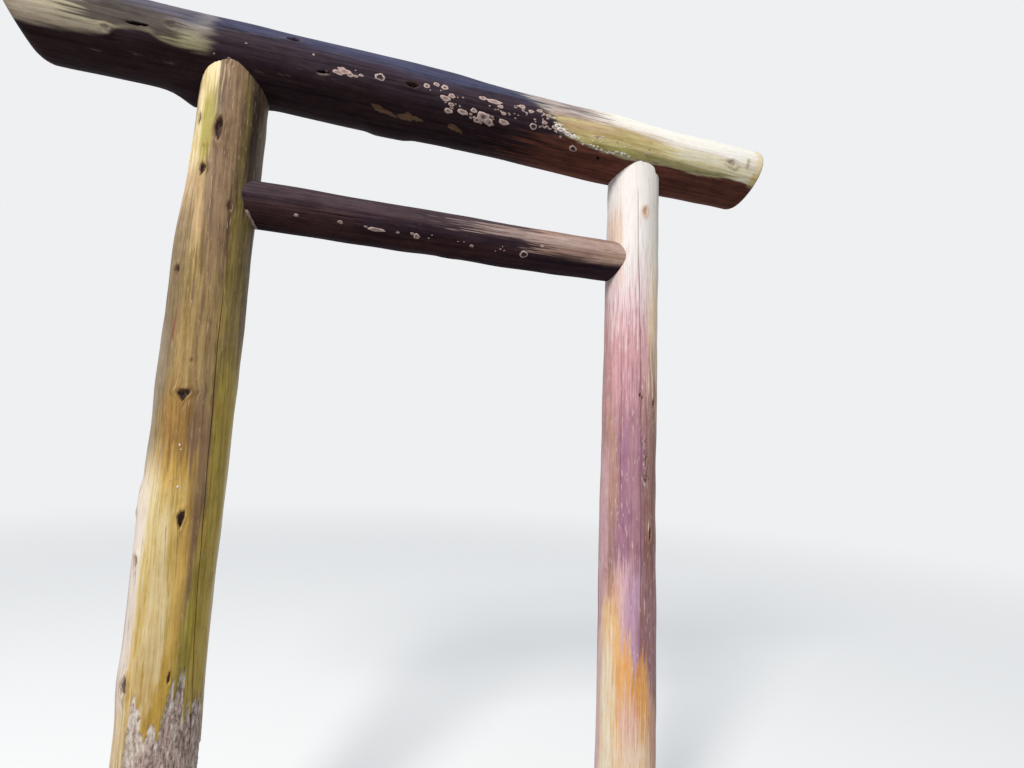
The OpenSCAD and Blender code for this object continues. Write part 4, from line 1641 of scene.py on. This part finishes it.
def sawn_rings(side):
    """Rings over a sawn end, with short checks that run out from the pith."""
    def rings(rim):
        middle = rim.mean(0)
        made = []
        angles = np.arange(len(rim)) * 360 / len(rim)
        for share in END_SHARES:
            ring = middle + share * (rim - middle)
            depth = np.zeros(len(rim))
            for bearing, inner, outer in END_CHECKS:
                near = np.abs(turn(angles - bearing - 9 * share)) * share / 1.6
                depth = np.maximum(depth, np.clip(1 - near, 0, 1) * (inner < share < outer))
            ring[:, 0] -= side * (END_CHECK_DEPTH * depth)
            made.append(ring)
        return made
    return rings


slant_ends(top_skin)
print("left end leans from", top_skin.along[0].min().round(3), "to", top_skin.along[0].max().round(3))

# %% Kasagi
kasagi = build_log(
    "kasagi_log",
    top_skin,
    sawn_rings(-1),
    sawn_rings(1),
    log_finishes("kasagi", KASAGI_TONES, 0.68, 0.04),
)

# %% [markdown]
# ## Nuki, the tie log
# A dark, dry log with reddish edges, whose right end is painted paler with the sunlight that reaches it.
# Its round ends go straight into sockets in the posts.

# %% Nuki's skin
TIE_X = nuki_log.start[0]
NUKI_KNOTS = [
    (0.430, 80, 0.020, 0.012, 0.005, 0.0018, 0.0),
    (1.010, 40, 0.018, 0.010, 0.005, 0.0016, 0.0),
    (0.700, 170, 0.018, 0.010, 0.005, 0.0016, 0.0),
]
NUKI_CHECKS = [
    ([(0.20, -104), (0.52, -107)], 0.0014, 0.002, 0.35),
    ([(0.55, -88), (1.00, -91)], 0.0014, 0.002, 0.3),
    ([(0.25, 60), (0.95, 66)], 0.0022, 0.004, 0.8),
    ([(0.40, 150), (1.10, 158)], 0.0022, 0.004, 0.8),
]
NUKI_SHADES = ((0.042, 0.024, 0.032), (0.020, 0.0115, 0.016))

places = [(k[0] - TIE_X, k[2] * 2) for k in NUKI_KNOTS]
rings = spaced(0, nuki_log.length, 0.0075, 0.0055, places)
tie_skin = Skin(nuki_log, rings, 1.8, NUKI_SHADES)
flow(tie_skin, 61, 0.0006, 0.00018)
for row in NUKI_KNOTS:
    knot(tie_skin, row[0] - TIE_X, *row[1:])
for ends, width, depth, strong in NUKI_CHECKS:
    check(tie_skin, [(x - TIE_X, b) for x, b in ends], width, depth, 0.10, strong)
print(len(NUKI_KNOTS), "knots and", len(NUKI_CHECKS), "checks")

# %% Coats on the tie log
lay(tie_skin, {}, [
    (401, 0.9, -0.1, 1.6, 0.2, -76, 70, 12, 5, ((0.090, 0.062, 0.070), (0.048, 0.032, 0.038))),
    (402, 0.8, 0.0, 0.75, 0.25, 200, 236, 9, 5, ((0.070, 0.030, 0.030), (0.028, 0.013, 0.014))),
    (403, 0.6, 0.10, 0.36, 0.06, -126, -104, 8, 5, ((0.085, 0.040, 0.038), (0.042, 0.020, 0.020))),
    (404, 0.5, 0.35, 0.95, 0.15, -90, -76, 6, 5, ((0.115, 0.070, 0.078), (0.058, 0.034, 0.040))),
    # Painted sunlight: the pale tones of the right end
    (405, 0.95, 1.04, 1.6, 0.06, -112, -40, 8, 6, ((0.44, 0.29, 0.235), (0.29, 0.175, 0.14))),
    (406, 0.7, 0.88, 1.6, 0.12, -86, -60, 7, 5, ((0.58, 0.45, 0.40), (0.40, 0.28, 0.25))),
    (407, 0.6, 1.09, 1.17, 0.02, -126, -112, 5, 5, ((0.07, 0.040, 0.036), (0.035, 0.020, 0.018))),
    (408, 0.6, 1.255, 1.6, 0.03, -110, -74, 12, 5, ((0.66, 0.47, 0.38), (0.46, 0.30, 0.22))),
], TIE_X)
TIE_SCUFFS = [(0.955, -112, 0.018), (1.00, -108, 0.014), (0.98, -118, 0.010)]
TIE_SCUFF_WIDE = 0.0022
for place, bearing, length in TIE_SCUFFS:
    share = scuff(tie_skin, tie_skin.along + TIE_X, place, bearing, length, TIE_SCUFF_WIDE)
    tie_skin.coat(0.7 * share, (0.40, 0.31, 0.26), (0.28, 0.20, 0.17))

# %% Nuki
nuki = build_log(
    "nuki_log",
    tie_skin,
    flat_rings,
    flat_rings,
    log_finishes("nuki", NUKI_TONES, 0.70, 0.04),
)

# %% [markdown]
# ## Lichen
# Round grey-pink crusts of lichen grow on the damp side of the top log and a few on the
# tie log, and paler ones follow the edge of the top log's bleached face. Each is a real
# crust: a thin lobed disc with a raised pale rim, dropped on to the finished skin by
# rays, so that it follows every swell of the wood.

# %% One crust
CRUST_RINGS = (0.30, 0.56, 0.84, 1.0)
CRUST_SIDES = 20
CRUST_HEIGHTS = (0.0006, 0.0009, 0.0010, -0.0006)
CRUST_TONES = (0.40, 0.75, 0.95, 0.95)
CRUST_LONG, CRUST_WIDE = 1.5, 1.15
CRUST_SEED = 700
AROUND = np.arange(CRUST_SIDES) * 2 * math.pi / CRUST_SIDES
# How many times each kind of lobe comes round a crust, and how far out it reaches
LOBES = ((2, 0.10), (3, 0.10), (5, 0.08), (8, 0.06))


def crust(log, tree, spot, seed, heights):
    """The points of one crust, and for each its tone, how hollow it is, and its share of
    the way out to the rim."""
    place, bearing, long, wide, hollow = spot
    rng = np.random.default_rng(seed)
    lobes = 1 + 0 * AROUND
    for k, strength in LOBES:
        lobes += strength * rng.uniform(0.4, 1) * np.cos(k * AROUND + rng.uniform(0, 6.3))
    along = place - float(log.start @ log.run)
    # A middle point, the rings, and a point inside the wood that closes the underside
    rings = [(0.0, heights[0] - 0.0004 * hollow, 0.40)]
    rings += list(zip(CRUST_RINGS, heights, CRUST_TONES))
    rings.append((0.0, -0.0016, 0.05))
    points, tones = [], []
    for share, height, tone in rings:
        for j in range(CRUST_SIDES if share else 1):
            u = share * lobes[j] * CRUST_LONG * long / 1000 * math.cos(AROUND[j])
            v = share * lobes[j] * CRUST_WIDE * wide / 1000 * math.sin(AROUND[j])
            angle = math.radians(bearing) + v / log.mean
            out = Vector(log.zero * math.cos(angle) + log.side * math.sin(angle))
            middle = Vector(log.start + log.run * (along + u))
            hit = tree.ray_cast(middle + out * REACH, -out, REACH)[0]
            deep = height - 0.0005 * hollow * (share < 0.5) + 0.0002 * rng.normal()
            points.append(hit + out * (deep if 0 < share < 1 else height))
            tones.append((tone, hollow, share, 1))
    return points, tones


def crust_faces():
    """The faces of a crust: a fan round its middle, rings of quads, and a fan below."""
    pairs = [(j, (j + 1) % CRUST_SIDES) for j in range(CRUST_SIDES)]
    faces = [(0, 1 + j, 1 + k) for j, k in pairs]
    a = 1
    for _ in CRUST_RINGS[1:]:
        b = a + CRUST_SIDES
        faces += [(a + j, b + j, b + k, a + k) for j, k in pairs]
        a = b
    return faces + [(a + CRUST_SIDES, a + k, a + j) for j, k in pairs]


print("a crust has", len(crust_faces()), "faces")

# %% A finish for lichen
def lichen_finish(name, rim, middle, wood):
    """Mealy crust: a pale rim, and a middle that lets the dark wood through."""
    f = Finish(name)
    pale, hollow, share, _ = f.parts("crust")
    meal = f.noise(f.place(), 420, 3, 0.6)
    patchy = f.noise(f.place(), 110, 3, 0.6)
    colour = f.mix(middle, rim, (pale + (meal - 0.5) * 0.9).step(0.2, 0.9))
    bare = hollow * (1 - share) * 1.5 + (patchy - 0.5) * 0.9 - 0.10
    f.put("Base Color", f.mix(colour, wood, bare.step(0.25, 0.60)))
    f.put("Roughness", 0.9)
    f.put("Specular IOR Level", 0.2)
    f.put("Normal", f.bump(meal, 0.6, 0.0008))
    return f.material


CRUST_RIM, CRUST_MIDDLE = (0.57, 0.42, 0.38), (0.28, 0.185, 0.17)
PALE_RIM, PALE_MIDDLE = (0.95, 0.92, 0.88), (0.60, 0.48, 0.42)
DARK_WOOD, PALE_WOOD = (0.045, 0.030, 0.034), (0.26, 0.19, 0.15)
kasagi_crust = lichen_finish("kasagi_crust", CRUST_RIM, CRUST_MIDDLE, DARK_WOOD)
pale_crust = lichen_finish("pale_crust", PALE_RIM, PALE_MIDDLE, PALE_WOOD)
nuki_crust = lichen_finish("nuki_crust", CRUST_RIM, CRUST_MIDDLE, DARK_WOOD)
print(kasagi_crust.name, "has", len(kasagi_crust.node_tree.nodes), "nodes")

# %% [markdown]
# The large crusts were placed one by one. The fine specks around them are scattered by
# a seeded generator, so they fall in the same spots each time. All crusts of one tone on
# a log are one piece, because hundreds of tiny pieces would be slow to handle.

# %% Large crusts
# Place, bearing, half length, half width in millimetres, and how hollow the middle is
KASAGI_LICHENS = [
    (0.312, -106, 12, 7, 0.2), (0.331, -103, 13, 8, 0.3), (0.348, -106, 8, 6, 0.2),
    (0.322, -100, 8, 5, 0.2), (0.365, -106, 5, 4, 0.3), (0.380, -103, 5, 4, 0.3),
    (0.437, -99, 12, 10, 0.9), (0.585, -95, 8, 7, 0.5), (0.616, -88, 7, 6, 0.4),
    (0.644, -90, 9, 8, 0.5), (0.669, -101, 8, 7, 0.3), (0.649, -107, 13, 8, 0.3),
    (0.670, -114, 7, 6, 0.3), (0.663, -124, 11, 7, 0.2), (0.710, -121, 12, 8, 0.3),
    (0.747, -115, 8, 7, 0.3), (0.774, -92, 9, 7, 0.4), (0.814, -93, 22, 7, 0.2),
    (0.782, -121, 17, 13, 0.5), (0.803, -127, 12, 10, 0.4), (0.762, -128, 9, 8, 0.4),
    (0.854, -122, 13, 8, 0.3), (0.837, -99, 7, 6, 0.2), (0.850, -109, 7, 5, 0.2),
    (0.913, -90, 9, 7, 0.3), (0.947, -95, 7, 6, 0.2), (0.960, -118, 10, 9, 0.9),
    (0.978, -90, 8, 6, 0.2), (1.012, -95, 7, 6, 0.2), (0.999, -108, 7, 6, 0.3),
    (1.048, -87, 8, 6, 0.2), (1.039, -112, 8, 6, 0.2), (1.120, -137, 10, 9, 0.9),
    (1.200, -111, 6, 5, 0.2), (1.408, -120, 6, 4, 0.2),
]
PALE_LICHENS = [
    (1.050, -108, 9, 7, 0.5), (1.062, -113, 11, 7, 0.4), (1.088, -117, 9, 6, 0.4), (1.112, -119, 8, 6, 0.3),
]
NUKI_LICHENS = [
    (0.353, -121, 6, 5, 0.4), (0.462, -125, 18, 6, 0.2), (0.430, -122, 4, 3, 0.2),
    (0.530, -124, 4, 3, 0.2), (0.575, -121, 4, 4, 0.2), (0.590, -126, 7, 9, 0.3),
    (0.774, -128, 5, 4, 0.2), (0.958, -128, 11, 10, 0.95), (1.021, -100, 5, 4, 0.2),
    (0.225, -121, 5, 4, 0.2),
]
print("large crusts:", len(KASAGI_LICHENS), "on the top log and", len(NUKI_LICHENS), "on the tie log")

# %% Specks
# Place, bearing, how many specks lie round it, and their size
SPECK_PATCHES = [
    (0.33, -103, 4, 2.5), (0.64, -98, 7, 2.8), (0.70, -118, 8, 3.0), (0.79, -123, 16, 3.6),
    (0.86, -105, 9, 2.8), (0.96, -96, 16, 3.2), (1.00, -112, 10, 3.2), (1.07, -117, 14, 4.0),
]
LONE_SPECKS = [
    (-0.087, -106), (0.050, -95), (0.237, -88), (-0.034, -120), (0.005, -121), (1.281, -112),
    (1.377, -121), (1.415, -112), (0.892, -112), (0.966, -110),
]
NUKI_SPECKS = (0.62, 0.70, 0.84, 0.90)
SPECK_SEED = 88


def scatter(rng, count, x, bearing, x_spread, bearing_spread, size):
    """Specks round one place: most are small, and all are roundish."""
    return [
        (x + rng.normal(0, x_spread), bearing + rng.normal(0, bearing_spread),
         size * rng.uniform(0.5, 1.3), size * rng.uniform(0.45, 1.0), rng.uniform(0, 0.5))
        for _ in range(count)
    ]


specks = np.random.default_rng(SPECK_SEED)
kasagi_spots, pale_spots, nuki_spots = list(KASAGI_LICHENS), list(PALE_LICHENS), list(NUKI_LICHENS)
for x, bearing, count, size in SPECK_PATCHES:
    kasagi_spots += scatter(specks, count, x, bearing, 0.035, 5.5, size)
for x in np.linspace(1.04, 1.34, 30):
    bearing = np.interp(x, *np.array(RIGHT_SUNLIGHT_EDGE).T) + 2.5
    pale_spots += scatter(specks, 1, x, bearing, 0.006, 2.0, 3.4)
pale_spots += scatter(specks, 12, 1.22, -114, 0.06, 4.0, 2.0)
for x, bearing in LONE_SPECKS:
    kasagi_spots += scatter(specks, 1, x, bearing, 0.0, 0.0, 3.2)
for x in NUKI_SPECKS:
    nuki_spots += scatter(specks, 2, x, -124, 0.03, 6, 2.2)
print("crusts and specks:", len(kasagi_spots), "dark,", len(pale_spots), "pale,", len(nuki_spots), "on nuki")

# %% Lichen on the two beams
def grow(name, log, host, spots, finish, heights=CRUST_HEIGHTS):
    """One piece of many crusts, dropped on to the finished skin of a log."""
    tree = ray_tree(host.data)
    vertices, faces, tones = [], [], []
    for seed, spot in enumerate(spots, CRUST_SEED):
        faces += [tuple(len(vertices) + i for i in face) for face in crust_faces()]
        points, values = crust(log, tree, spot, seed, heights)
        vertices += points
        tones += values
    mesh = bpy.data.meshes.new(name)
    mesh.from_pydata(vertices, [], faces)
    add_attribute(mesh, "crust", "FLOAT_COLOR", tones)
    mesh.materials.append(finish)
    add_piece(mesh)


grow("kasagi_lichen", kasagi_log, kasagi, kasagi_spots, kasagi_crust)
grow("kasagi_pale_lichen", kasagi_log, kasagi, pale_spots, pale_crust)
grow("nuki_lichen", nuki_log, nuki, nuki_spots, nuki_crust)

# %% [markdown]
# ## Resin
# A few beads of dried resin sit on the left post below its three-cornered knot. They are
# made just as the lichens are, only smaller and domed.

# %% Beads of resin
RESIN_HEIGHTS = (0.0015, 0.0013, 0.0008, -0.0006)
RESIN_BEADS = [
    (1.464, -88, 2.6, 2.2, 0), (1.353, -84, 2.4, 2.4, 0), (1.452, -85.5, 1.6, 1.5, 0),
    (1.372, -95, 1.5, 1.2, 0),
]


def resin_finish():
    """Dried resin: whitish, a little glossy, and cloudy inside."""
    f = Finish("resin")
    cloud = f.noise(f.place(), 700, 2)
    f.put("Base Color", f.mix((0.86, 0.82, 0.76), (0.62, 0.54, 0.45), cloud.step(0.4, 0.7)))
    f.put("Roughness", 0.35 + cloud * 0.3)
    f.put("Normal", f.bump(cloud, 0.3, 0.0004))
    return f.material


grow("left_post_resin", left_post_log, left_post, RESIN_BEADS, resin_finish(), RESIN_HEIGHTS)

# %% [markdown]
# ## Wedge
# A split sliver of wood was driven in under the left end of the tie log. It bends round
# the underside of the log, grows thicker outwards, and its outer end follows the round
# of the post. It is lofted from a small profile that is turned about the tie log's line,
# with the outer edge a little uneven, as split wood is.

# %% Wedge's profile
WEDGE_FROM, WEDGE_TO = -127, -184
WEDGE_STEPS = 26
# How far the wedge stands out of the post's skin, and how far it goes in
WEDGE_OUT, WEDGE_IN = 0.008, -0.014
WEDGE_THICK = 0.0062
WEDGE_SEED = 5
# How far the wedge is sunk into the tie log, so that no gap shows between them
WEDGE_BITE = 0.0005
# Distance from the post's axis at which the wedge meets its skin, good enough for a bearing
POST_HALF = 0.09


def wedge_profile(bearing, rng):
    """Points of the wedge's section at one bearing: place along the tie log, and radius."""
    a = math.radians(bearing)
    y = nuki_log.mean * math.sin(a)
    skin = left_post_log.radius(np.array(nuki_log.start[2]), np.degrees(np.arctan2(y, POST_HALF)))
    post = math.sqrt(float(skin) ** 2 - y * y)
    tie = float(nuki_log.radius(np.array(post - TIE_X), np.array(float(bearing))))
    swell = math.sin(math.pi * (bearing - WEDGE_FROM) / (WEDGE_TO - WEDGE_FROM))
    taper = min(1.0, 0.35 + 0.65 * swell * 1.4)
    out = post + WEDGE_OUT + 0.0012 * rng.normal()
    thick = WEDGE_THICK * taper + 0.0003 * rng.normal()
    start, foot = post + WEDGE_IN, tie - WEDGE_BITE
    middle = (start + out) / 2
    return [
        (start, foot), (start, tie + 0.3 * thick), (middle, tie + 0.7 * thick),
        (out - 0.0015, tie + thick), (out, tie + 0.85 * thick), (out + 0.0005, tie + 0.4 * thick),
        (out - 0.0005, foot), (middle, foot),
    ]


first = wedge_profile(WEDGE_FROM, np.random.default_rng(WEDGE_SEED))
print("first section of the wedge:", [(round(x, 4), round(r, 4)) for x, r in first])

# %% A finish for split wood
def wedge_finish():
    """Split wood, pale and greyish, with its fibres along the wedge."""
    f = Finish("wedge_wood")
    fibre = f.noise(f.stretch(f.place(), (0.15, 1, 1)), 520, 3, 0.6)
    stain = f.noise(f.place(), 90, 3)
    share = (fibre * 0.7 + stain * 0.3).step(0.42, 0.60)
    f.put("Base Color", f.mix((0.52, 0.42, 0.37), (0.24, 0.165, 0.145), share))
    f.put("Roughness", 0.75 + (fibre - 0.5) * 0.3)
    f.put("Normal", f.bump(fibre, 0.6, 0.001))
    print(f.material.name, "has", len(f.tree.nodes), "nodes")
    return f.material


split_wood = wedge_finish()

# %% Wedge
WEDGE_CREASE = math.radians(35)


def make_wedge():
    rng = np.random.default_rng(WEDGE_SEED)
    vertices, faces = [], []
    for bearing in np.linspace(WEDGE_FROM, WEDGE_TO, WEDGE_STEPS):
        a = math.radians(bearing)
        for x, r in wedge_profile(bearing, rng):
            vertices.append((x, r * math.sin(a), nuki_log.start[2] + r * math.cos(a)))
    count = len(vertices) // WEDGE_STEPS
    for i in range(WEDGE_STEPS - 1):
        faces += joined(i * count, (i + 1) * count, count, False)
    faces.append(tuple(range(count))[::-1])
    faces.append(tuple(range((WEDGE_STEPS - 1) * count, WEDGE_STEPS * count)))
    mesh = bpy.data.meshes.new("nuki_wedge_sliver")
    mesh.from_pydata(vertices, [], faces)
    mesh.materials.append(split_wood)
    piece = add_piece(mesh, WEDGE_CREASE)
    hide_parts("nuki_wedge")
    print("wedge from", np.min(vertices, 0).round(4), "to", np.max(vertices, 0).round(4))


make_wedge()
